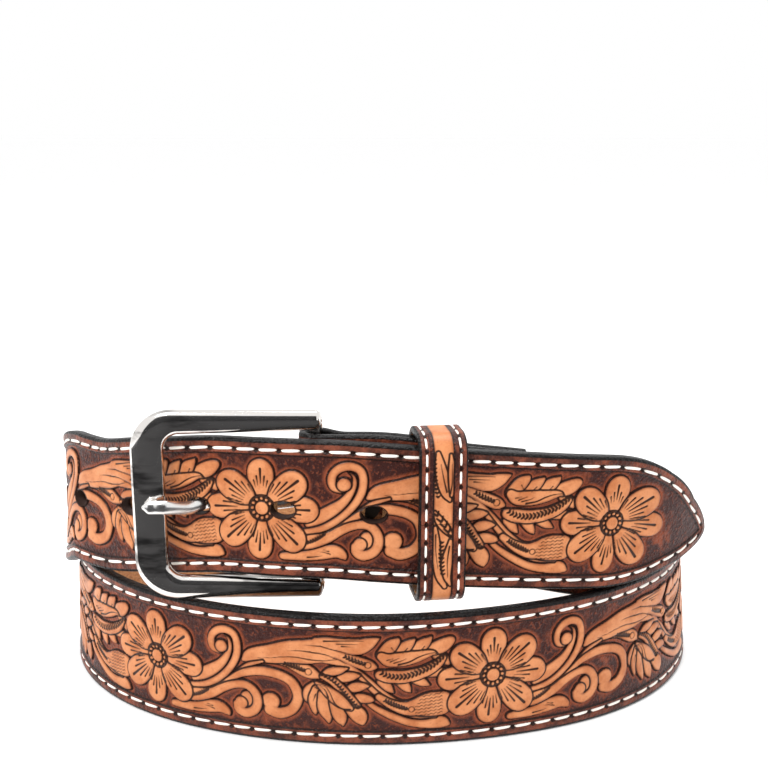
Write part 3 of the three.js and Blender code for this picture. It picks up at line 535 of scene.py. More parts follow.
def strap_skin(from_tip, thickness, place, tooled):
    """Rows of a closed section: face, lower edge, flesh side, upper edge; with their values."""
    half = np.maximum(half_width(from_tip), 0.3)[:, None]
    n = len(from_tip)
    thick = thickness[:, None]
    slope = np.gradient(half[:, 0], from_tip)[:, None] if n > 2 else 0 * half
    v = (half - ROUNDING * np.minimum(1, half / 2)) * across[None]
    u = (FLOWER_FROM_TIP - from_tip)[:, None] + 0 * v
    edge = (half - np.abs(v)) / np.sqrt(1 + slope**2)
    edge = np.minimum(edge, from_tip[:, None] + 0 * v)
    value = {}
    if tooled:
        band = np.clip((edge - BORDER_INSET) / 0.35, 0, 1)
        value["inside"] = np.minimum(sample("inside", u, v), edge - BORDER_INSET - 0.1)
        value["dark"] = np.maximum(np.where(edge > BORDER_INSET, sample("dark", u, v), CLEAR),
                                   np.maximum(0.24 - np.abs(edge - BORDER_INSET), CLEAR))
        rough = 0.06 * np.sin(u * 9.1 + 3 * np.sin(v * 5.3)) * np.sin(v * 8.7 + 2 * np.sin(u * 4.1))
        drop = sample("depth", u, v) + np.where(value["inside"] < 0, rough, 0)
        groove = 0.6 * np.clip(1.15 - np.abs(edge - STITCH_INSET) / 0.6, 0, 1)
        drop = drop * band - 0.3 * np.exp(-((edge - BORDER_INSET) / 0.3)**2) - groove
    else:
        value["inside"] = np.full(v.shape, -9.0)
        value["dark"] = CLEAR + 0 * v
        drop = 0 * v
    value["edge"] = edge
    value["face"] = 1 + 0 * v
    # columns after the face: rounded corner, side, rounded corner, flesh side, and back
    r = np.minimum(ROUNDING, thick * 0.4) * np.minimum(1, half / 2)
    extra = []
    for side in (-1, 1):
        top = [(side * (half - r * (1 - math.cos(a))), -r * (1 - math.sin(a)))
               for a in np.radians([67, 45, 22, 0])]
        low = [(side * (half - r * (1 - math.cos(a))), -thick + r * (1 - math.sin(a)))
               for a in np.radians([0, 22, 45, 67, 90])]
        extra.append(top + low if side < 0 else (top + low)[::-1])
    flesh = [((half - r) * t, -thick + 0 * half) for t in np.linspace(-1, 1, 12)[1:-1]]
    columns = extra[0] + flesh + extra[1]
    vs = np.hstack([v] + [c[0] + 0 * half for c in columns])
    ds = np.hstack([drop] + [c[1] + 0 * half for c in columns])
    k = len(columns)
    flags = [0.5] * 9 + [0.0] * len(flesh) + [0.5] * 9
    value["inside"] = np.hstack([value["inside"], np.full((n, k), -9.0)])
    value["dark"] = np.hstack([value["dark"], np.full((n, k), CLEAR)])
    value["edge"] = np.hstack([value["edge"], np.zeros((n, k))])
    value["face"] = np.hstack([value["face"], np.tile(flags, (n, 1))])
    middle, up, out = place
    points = middle[:, None] + up[:, None] * vs[..., None] + out[:, None] * ds[..., None]
    us = np.hstack([u, np.repeat(u[:, :1], k, 1)])
    return points, us, vs, value


def mesh_piece(name, points, faces, values=None, material=None, smooth_faces=True):
    """An object from points in millimetres and quads or triangles."""
    mesh = bpy.data.meshes.new(name)
    faces = np.asarray(faces)
    corners = faces.shape[1]
    mesh.vertices.add(len(points))
    mesh.vertices.foreach_set("co", (np.asarray(points) * MM).astype(np.float32).ravel())
    mesh.loops.add(faces.size)
    mesh.loops.foreach_set("vertex_index", faces.astype(np.int32).ravel())
    mesh.polygons.add(len(faces))
    mesh.polygons.foreach_set("loop_start", np.arange(0, faces.size, corners, dtype=np.int32))
    mesh.update(calc_edges=True)
    mesh.validate()
    mesh.polygons.foreach_set("use_smooth", np.full(len(mesh.polygons), smooth_faces))
    for key, data in (values or {}).items():
        layer = mesh.attributes.new(key, "FLOAT", "POINT")
        layer.data.foreach_set("value", np.asarray(data, np.float32).ravel())
    if material:
        mesh.materials.append(material)
    piece = bpy.data.objects.new(name, mesh)
    bpy.context.scene.collection.objects.link(piece)
    return piece


def quads(rows_count, columns, close=False, flip=False):
    """Quads of a grid of points; close joins the last column to the first."""
    last = columns if close else columns - 1
    i, j = np.meshgrid(np.arange(rows_count - 1), np.arange(last), indexing="ij")
    j2 = (j + 1) % columns
    q = np.stack([i * columns + j, i * columns + j2,
                  (i + 1) * columns + j2, (i + 1) * columns + j], -1).reshape(-1, 4)
    return q[:, ::-1] if flip else q

# %% [markdown]
# ## Finishes
# Dyed leather is not one colour. The pressed ground takes the dye and turns dark, the raised
# leaves keep a warm tan, and paste stays in every cut. Painted shade is added as well: in the cuts,
# the stitch holes and the adjusting holes, and where each leaf rolls down to its outline. The
# values stored on the skin steer one material, so colour and relief always agree. The metal is
# polished and shows soft streaks, which are painted reflections.

# %% Materials
def new_material(name):
    material = bpy.data.materials.new(name)
    material.use_nodes = True
    tree = material.node_tree
    return material, tree, tree.nodes["Principled BSDF"]


class Tree:
    """Short ways to add nodes."""

    def __init__(self, tree):
        self.tree = tree

    def put(self, socket, value):
        if isinstance(value, bpy.types.NodeSocket):
            self.tree.links.new(value, socket)
        else:
            socket.default_value = value

    def attribute(self, name):
        node = self.tree.nodes.new("ShaderNodeAttribute")
        node.attribute_name = name
        return node.outputs["Fac"]

    def span(self, value, low, high, to_low=0.0, to_high=1.0):
        node = self.tree.nodes.new("ShaderNodeMapRange")
        node.interpolation_type = "SMOOTHSTEP"
        for key, v in zip((0, 1, 2, 3, 4), (value, low, high, to_low, to_high)):
            self.put(node.inputs[key], v)
        return node.outputs[0]

    def mix(self, factor, a, b):
        node = self.tree.nodes.new("ShaderNodeMix")
        node.data_type = "RGBA"
        self.put(node.inputs[0], factor)
        self.put(node.inputs[6], a)
        self.put(node.inputs[7], b)
        return node.outputs[2]

    def math(self, kind, a, b=0.0):
        node = self.tree.nodes.new("ShaderNodeMath")
        node.operation = kind
        self.put(node.inputs[0], a)
        self.put(node.inputs[1], b)
        return node.outputs[0]

    def noise(self, per_mm, detail=3.0, rough=0.55, stretch=(1, 1, 1)):
        place = self.tree.nodes.new("ShaderNodeTexCoord")
        scale = self.tree.nodes.new("ShaderNodeMapping")
        scale.inputs["Scale"].default_value = stretch
        self.tree.links.new(place.outputs["Object"], scale.inputs["Vector"])
        node = self.tree.nodes.new("ShaderNodeTexNoise")
        self.tree.links.new(scale.outputs[0], node.inputs["Vector"])
        node.inputs["Scale"].default_value = per_mm / MM
        node.inputs["Detail"].default_value = detail
        node.inputs["Roughness"].default_value = rough
        return node.outputs[0]

    def bump(self, height, distance_mm, strength=1.0, normal=None):
        node = self.tree.nodes.new("ShaderNodeBump")
        node.inputs["Distance"].default_value = distance_mm * MM
        node.inputs["Strength"].default_value = strength
        self.put(node.inputs["Height"], height)
        if normal:
            self.put(node.inputs["Normal"], normal)
        return node.outputs[0]


def colour(r, g, b):
    """A colour from 0-255 screen values."""
    return tuple(((c / 255 + 0.055) / 1.055)**2.4 if c > 10 else c / 255 / 12.92 for c in (r, g, b)) + (1.0,)


TAN = colour(204, 134, 88)
TAN_DEEP = colour(178, 106, 62)
# The next colour darkens the leaf rims, partly dye and partly painted shade, and marks the grain as the leather's
# own tone.
TAN_RIM_SHADE_AND_GRAIN = colour(122, 62, 38)
GROUND = colour(56, 26, 22)
GROUND_RED = colour(142, 70, 42)
MARGIN = colour(126, 66, 46)
MARGIN_DARK = colour(66, 34, 27)
# The next colour is antique paste in the cuts, together with painted shade in cuts, stitch holes and hole edges.
CUT_PASTE_AND_SHADE = colour(28, 12, 9)
EDGE_BLACK = colour(16, 13, 13)
FLESH = colour(196, 142, 96)
FLESH_DARK = colour(150, 98, 62)


def leather(name):
    material, tree, shader = new_material(name)
    t = Tree(tree)
    far, cut, edge, face = (t.attribute(k) for k in ("inside", "dark", "edge", "face"))
    patches = t.noise(0.16, 4.0, 0.6)
    grain = t.noise(1.6, 3.0)
    stipple = t.noise(0.9, 2.0, 0.7)
    near_leaf = t.span(t.math("ADD", far, t.math("MULTIPLY", patches, 1.6)), -0.9, 0.6)
    speck = t.span(stipple, 0.52, 0.68, 0.0, 0.45)
    blotch = t.span(t.noise(0.09, 4.0, 0.65), 0.52, 0.68, 0.0, 0.8)
    ground = t.mix(t.math("MAXIMUM", blotch, t.math("MAXIMUM", near_leaf, speck)), GROUND, GROUND_RED)
    tan = t.mix(t.span(patches, 0.35, 0.7), TAN, TAN_DEEP)
    # Painted shade with some dye: the tan darkens towards each leaf's outline, where the leaf rolls down into the
    # cut.
    tan = t.mix(t.span(far, 0.0, 0.9, 0.75, 0.0), tan, TAN_RIM_SHADE_AND_GRAIN)
    tan = t.mix(t.span(grain, 0.5, 0.75, 0.0, 0.25), tan, TAN_RIM_SHADE_AND_GRAIN)
    worked = t.mix(t.span(far, -0.12, 0.08), ground, tan)
    worn = t.math("ADD", patches, t.math("MULTIPLY", grain, 0.25))
    margin = t.mix(t.span(worn, 0.48, 0.76), MARGIN, MARGIN_DARK)
    tooled = t.mix(t.span(edge, BORDER_INSET - 0.1, BORDER_INSET + 0.15), margin, worked)
    # Near black in cuts, stamps and holes: antique paste plus painted shade.
    tooled = t.mix(t.span(cut, -0.14, 0.1, 0.0, 0.95), tooled, CUT_PASTE_AND_SHADE)
    tooled = t.mix(t.span(t.math("ADD", edge, t.math("MULTIPLY", grain, 0.5)), 0.95, 1.35), EDGE_BLACK, tooled)
    flesh = t.mix(t.span(t.noise(0.5, 5.0, 0.7, (1, 1, 3)), 0.35, 0.7), FLESH, FLESH_DARK)
    side = t.mix(t.span(face, 0.2, 0.4), flesh, EDGE_BLACK)
    t.put(shader.inputs["Base Color"], t.mix(t.span(face, 0.6, 0.9), side, tooled))
    raised = t.span(far, -0.1, 0.1)
    t.put(shader.inputs["Roughness"], t.span(raised, 0, 1, 0.34, 0.36))
    shader.inputs["Specular IOR Level"].default_value = 0.22
    pores = t.bump(grain, 0.05, 0.5)
    matting = t.math("MULTIPLY", stipple, t.span(raised, 0, 1, 1.0, 0.05))
    t.put(shader.inputs["Normal"], t.bump(matting, 0.7, 1.0, pores))
    return material


def metal(name, screen, rough, painted_reflection_streaks, stretch=(1, 1, 1)):
    material, tree, shader = new_material(name)
    t = Tree(tree)
    lines = t.noise(0.11, 4.0, 0.6, stretch)
    bright = colour(*screen)
    painted_reflection_dark = colour(*[c * 0.36 for c in screen])
    # Painted reflection: noise streaks darken the base colour and stand in for the studio's reflections in the
    # polished metal.
    t.put(shader.inputs["Base Color"], t.mix(t.span(lines, 0.5, 0.64, 0.0, painted_reflection_streaks), bright, painted_reflection_dark))
    shader.inputs["Metallic"].default_value = 1.0
    shader.inputs["Roughness"].default_value = rough
    t.put(shader.inputs["Normal"], t.bump(lines, 0.12, 0.35))
    return material


def plain(name, screen, rough):
    material, tree, shader = new_material(name)
    shader.inputs["Base Color"].default_value = colour(*screen)
    shader.inputs["Roughness"].default_value = rough
    return material


strap_leather = leather("strap_leather")
# The fourth value sets how strongly the painted reflection streaks darken each metal.
chrome = metal("chrome", (236, 232, 228), 0.1, 0.85, (0.25, 1, 1))
prong_chrome = metal("prong_chrome", (244, 243, 241), 0.26, 0.35, (0.3, 1, 1))
brushed = metal("brushed_steel", (96, 88, 80), 0.38, 0.3)
thread = plain("thread", (250, 245, 236), 0.7)
# The hole walls get a very dark brown as painted shade inside the holes.
hole_wall_painted_shade = plain("hole_wall", (52, 30, 22), 0.7)
print("materials:", len(bpy.data.materials))

# %% [markdown]
# ## Strap pieces
# The skin is cut into pieces along the strap so that none becomes too heavy. Round the
# adjusting holes the points of the skin are pulled onto the hole's oval and the faces inside it
# are taken away, then a short wall joins both sides of the leather.

# %% Build the strap
FOLD_LENGTH, PARED_LENGTH = 58, 20
length = FREE_END - from_tip
middle, along, up, out = stations(length)
full = ease((length - HINGE_START - FOLD_LENGTH) / PARED_LENGTH)
thickness = FOLD_THICKNESS + (STRAP_THICKNESS - FOLD_THICKNESS) * full
points, us, vs, values = strap_skin(from_tip, thickness, (middle, up, out), True)

edge_path = half_width(np.linspace(0, 1300, 13001))
edge_run = np.concatenate([[0], np.cumsum(np.hypot(0.1, np.diff(edge_path)))])


def run_at(tip):
    return np.interp(tip, np.linspace(0, 1300, 13001), edge_run)


phase = (run_at(from_tip) / STITCH_PITCH)[:, None]
near_end = np.abs(phase - np.round(phase)) * STITCH_PITCH
# Painted shade: a dark spot at each end of every stitch, where the thread dives into its hole.
stitch_hole_shade = 0.75 - np.hypot(near_end * 0.9, values["edge"] - STITCH_INSET)
values["dark"] = np.where(values["face"] > 0.9, np.maximum(values["dark"], np.maximum(stitch_hole_shade, CLEAR)), CLEAR)

# pull the skin onto the ovals of the holes
columns = points.shape[1]
drop_face = np.zeros((len(from_tip), columns), bool)
for hole in HOLES:
    x = (FREE_END - hole - from_tip)[:, None] / (HOLE_LENGTH / 2) + 0 * vs
    y = vs / (HOLE_HEIGHT / 2)
    rho = np.hypot(x, y)
    inner = (rho < 1) & (np.abs(values["face"] - 0.5) > 0.4)
    drop_face |= inner
    pull = np.where(inner & (rho > 0.05), 1 / np.maximum(rho, 0.05) - 1, 0)
    shift_l = x * pull * HOLE_LENGTH / 2
    shift_v = y * pull * HOLE_HEIGHT / 2
    points += along[:, None] * shift_l[..., None] + up[:, None] * shift_v[..., None]
    # Painted shade: a dark ring along the edge of each hole, widening its dark opening.
    rim = np.maximum((1.12 - rho) * HOLE_HEIGHT / 2, CLEAR)
    values["dark"] = np.where(values["face"] > 0.9, np.maximum(values["dark"], rim), values["dark"])

all_quads = quads(len(from_tip), columns, close=True)
flat_drop = drop_face.ravel()
all_quads = all_quads[~flat_drop[all_quads].all(1)]
pieces = []
ROWS_PER_PIECE = int(190000 / (2 * columns))
for k, start in enumerate(range(0, len(from_tip) - 1, ROWS_PER_PIECE)):
    stop = min(start + ROWS_PER_PIECE, len(from_tip) - 1)
    row = all_quads[:, 0] // columns
    mine = all_quads[(row >= start) & (row < stop)] - start * columns
    part = slice(start, stop + 1)
    piece = mesh_piece(f"strap_{k + 1}", points[part].reshape(-1, 3), mine,
                       {key: v[part] for key, v in values.items()}, strap_leather)
    pieces.append(piece)
print("strap pieces:", len(pieces), "quads:", len(all_quads))

# %% [markdown]
# ## The folded buckle end
# A saddler pares the buckle end thin, folds it back round the hinge bar and rivets it. It could
# be one skin with the strap, but the fold has its own short way: a half circle round the bar,
# then straight back along the inside. So it is a piece of its own, with a slot for the prong.

# %% The buckle end folded back round the hinge bar
fold_from = np.linspace(0, FOLD_LENGTH, 59)
outer = stations(HINGE_START + fold_from)
spacing = 2 * WRAP_RADIUS + (5.3 - 2 * WRAP_RADIUS) * ease(fold_from / 9)
ply_middle = outer[0] - outer[3] * spacing[:, None]
angles = np.linspace(0, math.pi, 17)[:, None]
wrap_out = hinge[3] * np.cos(angles) - hinge[1] * np.sin(angles)
wrap_middle = hinge_centre + wrap_out * WRAP_RADIUS
fold_middle = np.vstack([wrap_middle[:-1], ply_middle])
fold_out = np.vstack([wrap_out[:-1], -outer[3]])
fold_up = np.vstack([np.tile(hinge[2], (16, 1)), outer[2]])
n = len(fold_middle)
fold_points, _, fold_v, fold_values = strap_skin(
    np.full(n, 900.0) + np.arange(n), np.full(n, FOLD_THICKNESS), (fold_middle, fold_up, fold_out), False)
fold_quads = quads(n, columns, close=True)
slot = (np.abs(fold_v) < 3.1) & (np.arange(n)[:, None] < 24)
fold_quads = fold_quads[~slot.ravel()[fold_quads].all(1)]
fold = mesh_piece("strap_fold", fold_points.reshape(-1, 3), fold_quads, fold_values, strap_leather)
pieces.append(fold)

# %% [markdown]
# ## The hole walls
# A punch leaves a clean oval wall through the leather. A cutting modifier could make it, but it
# breaks up the dense skin. The faces inside each oval are already gone, so a short row of rings
# is enough to close each hole. The walls are coloured very dark brown: painted shade inside the
# holes.

# %% Walls of the adjusting holes
wall_points, wall_quads = [], []
turns = np.linspace(0, 2 * np.pi, 40, endpoint=False)
for hole in HOLES:
    m, a, u, o = (k[0] for k in stations(hole))
    start = len(wall_points) * 40
    for down in (0.1, 0.9, 1.8, 2.7, 3.6):
        wall_points.append([m + a * HOLE_LENGTH / 2 * math.cos(t) + u * HOLE_HEIGHT / 2 * math.sin(t)
                            - o * down for t in turns])
    wall_quads.append(quads(5, 40, close=True, flip=True) + start)
walls = mesh_piece("strap_hole_walls", np.array(wall_points).reshape(-1, 3), np.vstack(wall_quads),
                   None, hole_wall_painted_shade)
pieces.append(walls)

# %% [markdown]
# ## Stitches
# Two rows of thick waxed thread follow the edges and turn round the point. Each visible stitch
# is a short round thread whose ends dive into the leather, so it is one small capsule with a
# slight arch, sunk in the groove.

# %% Thread
STITCH_LENGTH = 5.5
THREAD = 0.56
ring = np.linspace(0, 2 * np.pi, 9)[:-1]
runs = np.arange(0.5, run_at(STRAP_LENGTH - 8) / STITCH_PITCH)
steps = np.array([-1, -.93, -.75, -.4, 0, .4, .75, .93, 1])
size = np.array([.25, .66, .92, 1, 1, 1, .92, .66, .25])
sink = np.array([-1.0, -.8, -.6, -.54, -.52, -.54, -.6, -.8, -1.0])
thread_points, thread_faces = [], []
for side in (1, -1):
    for k in runs:
        tips = np.interp((k * STITCH_PITCH + steps * STITCH_LENGTH / 2), edge_run, np.linspace(0, 1300, 13001))
        slope = (half_width(tips + .1) - half_width(tips)) / .1
        inset = STITCH_INSET * np.sqrt(1 + slope**2)
        v = half_width(tips) - inset
        if v.min() < 0.8:
            continue
        m, a, u, o = stations(FREE_END - tips)
        tilt = side * slope[:, None]
        way = unit(-a + u * tilt)
        wide = np.cross(o, way)
        slant = 0.14 * steps[:, None]
        centre = m + u * (side * v)[:, None] + o * sink[:, None] + wide * slant
        base = len(thread_points) * 8
        for i in range(9):
            thread_points.append([centre[i] + wide[i] * math.cos(t) * THREAD * size[i]
                                  + o[i] * math.sin(t) * THREAD * .9 * size[i] for t in ring])
        thread_faces.append(quads(9, 8, close=True) + base)
stitches = mesh_piece("stitches", np.array(thread_points).reshape(-1, 3),
                      np.vstack(thread_faces), None, thread)
print("stitches:", len(thread_faces))

# %% [markdown]
# ## The buckle
# The frame is cast and polished, so its bars are softly rounded all round. A bar is a row of
# rounded sections set between an inner and an outer outline. The outline runs from one end at
# the hinge round the end bar to the other end. A thin hinge bar joins the two ends.

# %% Frame and hinge bar
FRAME_LENGTH, FRAME_OVERHANG, FRAME_HEIGHT, HEIGHT_AT_HINGE = 53.2, 2.0, 55.7, 55.0
END_BAR, SIDE_BAR, SIDE_BAR_AT_HINGE = 9.4, 7.0, 5.6
FRAME_THICKNESS, CORNER, INNER_CORNER, HINGE_RADIUS = 4.4, 12.0, 4.5, 2.0
reach = FRAME_LENGTH - FRAME_OVERHANG - END_BAR / 2
under = [k[0] for k in stations(OVER_HINGE - reach)]
end_bar = under[0] + under[3] * (5.5 + FRAME_THICKNESS / 2)
over_bar = [k[0] for k in stations(OVER_HINGE)]
frame_up = hinge[2]
hinge_end = hinge_centre + over_bar[3] * 3.0 - frame_up * 0.75
frame_along = hinge_end - end_bar
frame_along = unit(frame_along - frame_up * frame_along.dot(frame_up))
frame_out = np.cross(frame_along, frame_up)


def from_buckle(p):
    """A point of the buckle's own axes (along, up, out) in the shared frame."""
    p = np.asarray(p, float)
    return hinge_end + p[..., :1] * frame_along + p[..., 1:2] * frame_up + p[..., 2:3] * frame_out


left, right = FRAME_OVERHANG - FRAME_LENGTH, FRAME_OVERHANG
high, high_right = FRAME_HEIGHT / 2, HEIGHT_AT_HINGE / 2
outer_line, inner_line = [], []
for t in np.linspace(0, 1, 26):
    x = right + (left + CORNER - right) * t
    outer_line.append((x, high_right + (high - high_right) * t))
    xi = right + (left + END_BAR + INNER_CORNER - right) * t
    bar = SIDE_BAR_AT_HINGE + (SIDE_BAR - SIDE_BAR_AT_HINGE) * t
    inner_line.append((xi, high_right + (high - high_right) * t - bar))
for a in np.radians(np.linspace(90, 180, 15))[1:]:
    outer_line.append((left + CORNER + CORNER * math.cos(a), high - CORNER + CORNER * math.sin(a)))
    inner_line.append((left + END_BAR + INNER_CORNER * (1 + math.cos(a)),
                       high - SIDE_BAR - INNER_CORNER * (1 - math.sin(a))))
half_count = len(outer_line)
outer_line += [(x, y * t) for t in np.linspace(1, 0, 10)[1:] for x, y in [outer_line[half_count - 1]]]
inner_line += [(x, y * t) for t in np.linspace(1, 0, 10)[1:] for x, y in [inner_line[half_count - 1]]]
outer_line = np.array(outer_line + [(x, -y) for x, y in outer_line[-2::-1]])
inner_line = np.array(inner_line + [(x, -y) for x, y in inner_line[-2::-1]])
SIDES = 40
angle = np.linspace(0, 2 * np.pi, SIDES, endpoint=False)
ring_x = np.sign(np.cos(angle)) * np.abs(np.cos(angle))**0.86
ring_z = np.sign(np.sin(angle)) * np.abs(np.sin(angle))**0.82
frame_points = []
bars = len(outer_line)
for i in range(bars):
    o, q = outer_line[i], inner_line[i]
    c, w = (o + q) / 2, np.linalg.norm(o - q) / 2
    d = (o - q) / (2 * w)
    frame_points.append([(c[0] + d[0] * w * x, c[1] + d[1] * w * x, z * FRAME_THICKNESS / 2)
                         for x, z in zip(ring_x, ring_z)])
frame_points = np.array(frame_points)


def closed_ends(rings, depth):
    """Round off both ends of a row of rings and close them."""
    rings = list(rings)
    for end in (0, -1):
        first, second = np.array(rings[end]), np.array(rings[1 if end == 0 else -2])
        away = unit(first.mean(0) - second.mean(0))
        caps = []
        for a in (30, 60, 80, 89.5):
            s = math.cos(math.radians(a))
            middle_point = first.mean(0)
            caps.append(middle_point + (first - middle_point) * s + away * depth * math.sin(math.radians(a)))
        rings = caps[::-1] + rings if end == 0 else rings + caps
    return np.array(rings)


def tube(name, rings, material, depth=0.8, place=from_buckle):
    """A row of rings as one closed piece, its ends rounded off."""
    rings = closed_ends(rings, depth)
    faces = quads(len(rings), rings.shape[1], close=True)
    return mesh_piece(name, place(rings).reshape(-1, 3), faces, None, material)


frame_points[0][:, 0] -= 1.2
frame_points[-1][:, 0] -= 1.2
frame_piece = tube("buckle_frame_visual", frame_points, chrome, 1.2)
to_hinge = hinge_centre - hinge_end
hx, hz = to_hinge.dot(frame_along), to_hinge.dot(frame_out)
lug = HEIGHT_AT_HINGE / 2 - SIDE_BAR_AT_HINGE / 2
circle = [(math.cos(a), math.sin(a)) for a in np.linspace(0, 2 * np.pi, 24, endpoint=False)]
bar_rings = [[(hx + HINGE_RADIUS * c, y, hz + HINGE_RADIUS * s) for c, s in circle]
             for y in np.linspace(-lug, lug, 30)]
hinge_piece = tube("hinge_bar_visual", bar_rings, chrome, 0.8)
lug_pieces = []
for side, name in ((1, "upper"), (-1, "lower")):
    rings = [[(hx + 1.9 * c, side * lug + 1.9 * s, z) for c, s in circle] for z in np.linspace(hz, 0, 6)]
    lug_pieces.append(tube(f"hinge_lug_{name}", rings, chrome, 0.6))
print("frame rings:", bars)

# %% [markdown]
# ## The prong
# The prong is a bent tongue with an eye round the hinge bar. It runs under the free end, comes
# up through the middle hole and rests on the end bar. A curve through a few points gives its
# way, and flattened round sections follow the curve.

# %% Prong
PRONG_WIDTH, PRONG_THICKNESS = 4.0, 2.6
below = -5.4
prong_rows = [(HINGE_TO_HOLE * .35, below - .6), (HINGE_TO_HOLE * .7, below), (HINGE_TO_HOLE - 1.44, below + .9),
              (HINGE_TO_HOLE, -1.8), (HINGE_TO_HOLE + 2.38, 1.6)]
way = [hinge_centre - hinge[1] * 3.3]
for a, o in prong_rows:
    m, _, _, normal = (k[0] for k in stations(OVER_HINGE - a))
    way.append(m + normal * o)
for share in (-.05, .3, .6):
    way.append(from_buckle((-(41.8 + END_BAR * share), 0.75, 3.8)))
way = smooth(np.array(way), 10)
tangent = unit(np.gradient(way, axis=0))
thick_way = unit(np.cross(tangent, frame_up))
side_way = unit(np.cross(thick_way, tangent))
share = np.linspace(0, 1, len(way))
taper = np.minimum(1, np.sqrt((1 - share) * 14 + .12))
prong_rings = np.array([[way[i] + side_way[i] * math.cos(a) * PRONG_WIDTH / 2 * taper[i]
                         + thick_way[i] * math.sin(a) * PRONG_THICKNESS / 2 * taper[i]
                         for a in np.linspace(0, 2 * np.pi, 20, endpoint=False)] for i in range(len(way))])
prong = tube("prong_visual", prong_rings, prong_chrome, 0.5, place=lambda p: p)
eye_rings = []
for a in np.linspace(0, 2 * np.pi, 33):
    c = np.array([math.cos(a), 0, math.sin(a)])
    eye_rings.append([hinge_centre - hinge_end + 0 * c + frame_along * c[0] * (3.3 + math.cos(b))
                      + frame_out * c[2] * (3.3 + math.cos(b)) + frame_up * 2 * math.sin(b) for b in
                      np.linspace(0, 2 * np.pi, 16, endpoint=False)])
eye_rings = np.array(eye_rings) + hinge_end
eye = mesh_piece("prong_eye_visual", eye_rings.reshape(-1, 3), quads(33, 16, close=True), None, prong_chrome)

# %% [markdown]
# ## The keeper
# The keeper is a narrow closed loop of the same leather. Its outline is a rounded rectangle, and
# the band is worked round it. Only its front panel is tooled: a long drop above, a row of
# chevrons in the middle and a curled drop below.

# %% Pattern of the keeper
# Points are (across the band, up, width), from the middle of the front panel, in millimetres.
KEEPER_LEAVES = [
    [(0, 26, 8), (0, -26, 8)],
    [(-1.6, 20, 1.2), (-1.2, 17, 2.6), (-.2, 12.5, 3.6), (.8, 9, 3), (1.8, 6.6, .8)],
    [(1.9, 19.5, .8), (2.2, 15, 2), (2.4, 11, 2), (2.2, 8, .8)],
    [(-2.4, 3.5, .8), (-1.2, 1.2, 2.2), (.6, -1.2, 2.4), (2.4, -3.6, 1)],
    [(-2.2, -1, 1), (-2, -5, 2.2), (-1.6, -10, 2.4), (-.6, -15, 2.6), (.8, -18.5, 1.2)],
    [(2.2, -5, 1), (1.8, -8.5, 2.6), (1.2, -12, 3), (1.4, -15.5, 2), (2.3, -18, .7)],
]
KEEPER_CUTS = [
    (.5, [(.9, 9), (0, 12.6), (-.9, 17)]), (.4, [(1.9, 8.6), (2.3, 12), (2.2, 17)]),
    (.4, [(-2, -3), (-1.9, -8), (-1.2, -13)]), (.45, [(1.9, -6.6), (1.4, -11), (1.6, -15.6)]),
]
KEEPER_STAMPS = [
    (10, 1.2, 80, .3, [(-2.7, 18.4), (-2.5, 13), (-1.5, 8)]),
    (5, 2, 75, .7, [(-2, 3.4), (0, .6), (2.2, -2.8)]),
    (9, 1.3, 80, .35, [(-.2, -5.2), (-.3, -9.5), (.2, -14.5)]),
]
KEEPER_WIDTH, KEEPER_HEIGHT, KEEPER_WALL, KEEPER_RADIUS, KEEPER_DEPTH = 13.4, 49.0, 2.2, 6.6, 18.9
KEEPER_BORDER, KEEPER_STITCH = 3.9, 2.0
grid_u = np.arange(-4.2, 4.2, 0.12)
grid_v = np.arange(-22, 22, 0.12)
depth = np.full((len(grid_v), len(grid_u)), -0.35)
inside = np.full(depth.shape, -9.0)
dark = np.full(depth.shape, CLEAR)
for leaf in KEEPER_LEAVES:
    draw(leaf, leaf_tool)
for width, line in KEEPER_CUTS:
    draw_cut(width, line)
for row in KEEPER_STAMPS:
    draw_stamps(*row)


def keeper_sample(field, a, v):
    x = np.clip((a - grid_u[0]) / 0.12, 0, len(grid_u) - 1.001)
    y = np.clip((v - grid_v[0]) / 0.12, 0, len(grid_v) - 1.001)
    i, j = np.floor(x).astype(int), np.floor(y).astype(int)
    fx, fy = x - i, y - j
    return ((field[j, i] * (1 - fx) + field[j, i + 1] * fx) * (1 - fy)
            + (field[j + 1, i] * (1 - fx) + field[j + 1, i + 1] * fx) * fy)


# %% [markdown]
# ## The keeper's band
# The band goes once round a rounded rectangle. Its section is walked along that outline and takes
# depth and colour from the pattern above, on the front and the top only.

# %% Shape of the keeper
def rounded_outline(step):
    """Outline of the loop: (out, up) points and their normals, from the front middle upward."""
    x, y, r = KEEPER_DEPTH / 2, KEEPER_HEIGHT / 2, KEEPER_RADIUS
    parts = [((x, v), (1, 0)) for v in np.arange(0, y - r, step)]
    corners = [(x - r, y - r, 0), (r - x, y - r, 90), (r - x, r - y, 180), (x - r, r - y, 270)]
    for k, (cx, cy, a0) in enumerate(corners):
        for a in np.radians(np.linspace(a0, a0 + 90, int(r * 1.57 / step) + 2)):
            parts.append(((cx + r * math.cos(a), cy + r * math.sin(a)), (math.cos(a), math.sin(a))))
        if k == 1:
            parts += [((-x, v), (-1, 0)) for v in np.arange(y - r - 1, r - y, -1)]
        if k in (0, 2):
            sign = 1 if k == 0 else -1
            parts += [((sign * t, sign * y), (0, sign)) for t in np.arange(x - r - 1, r - x, -1)]
    parts += [((x, v), (1, 0)) for v in np.arange(r - y + step, -step / 2, step)]
    p = np.array([q[0] for q in parts])
    n = np.array([q[1] for q in parts], float)
    return p, n


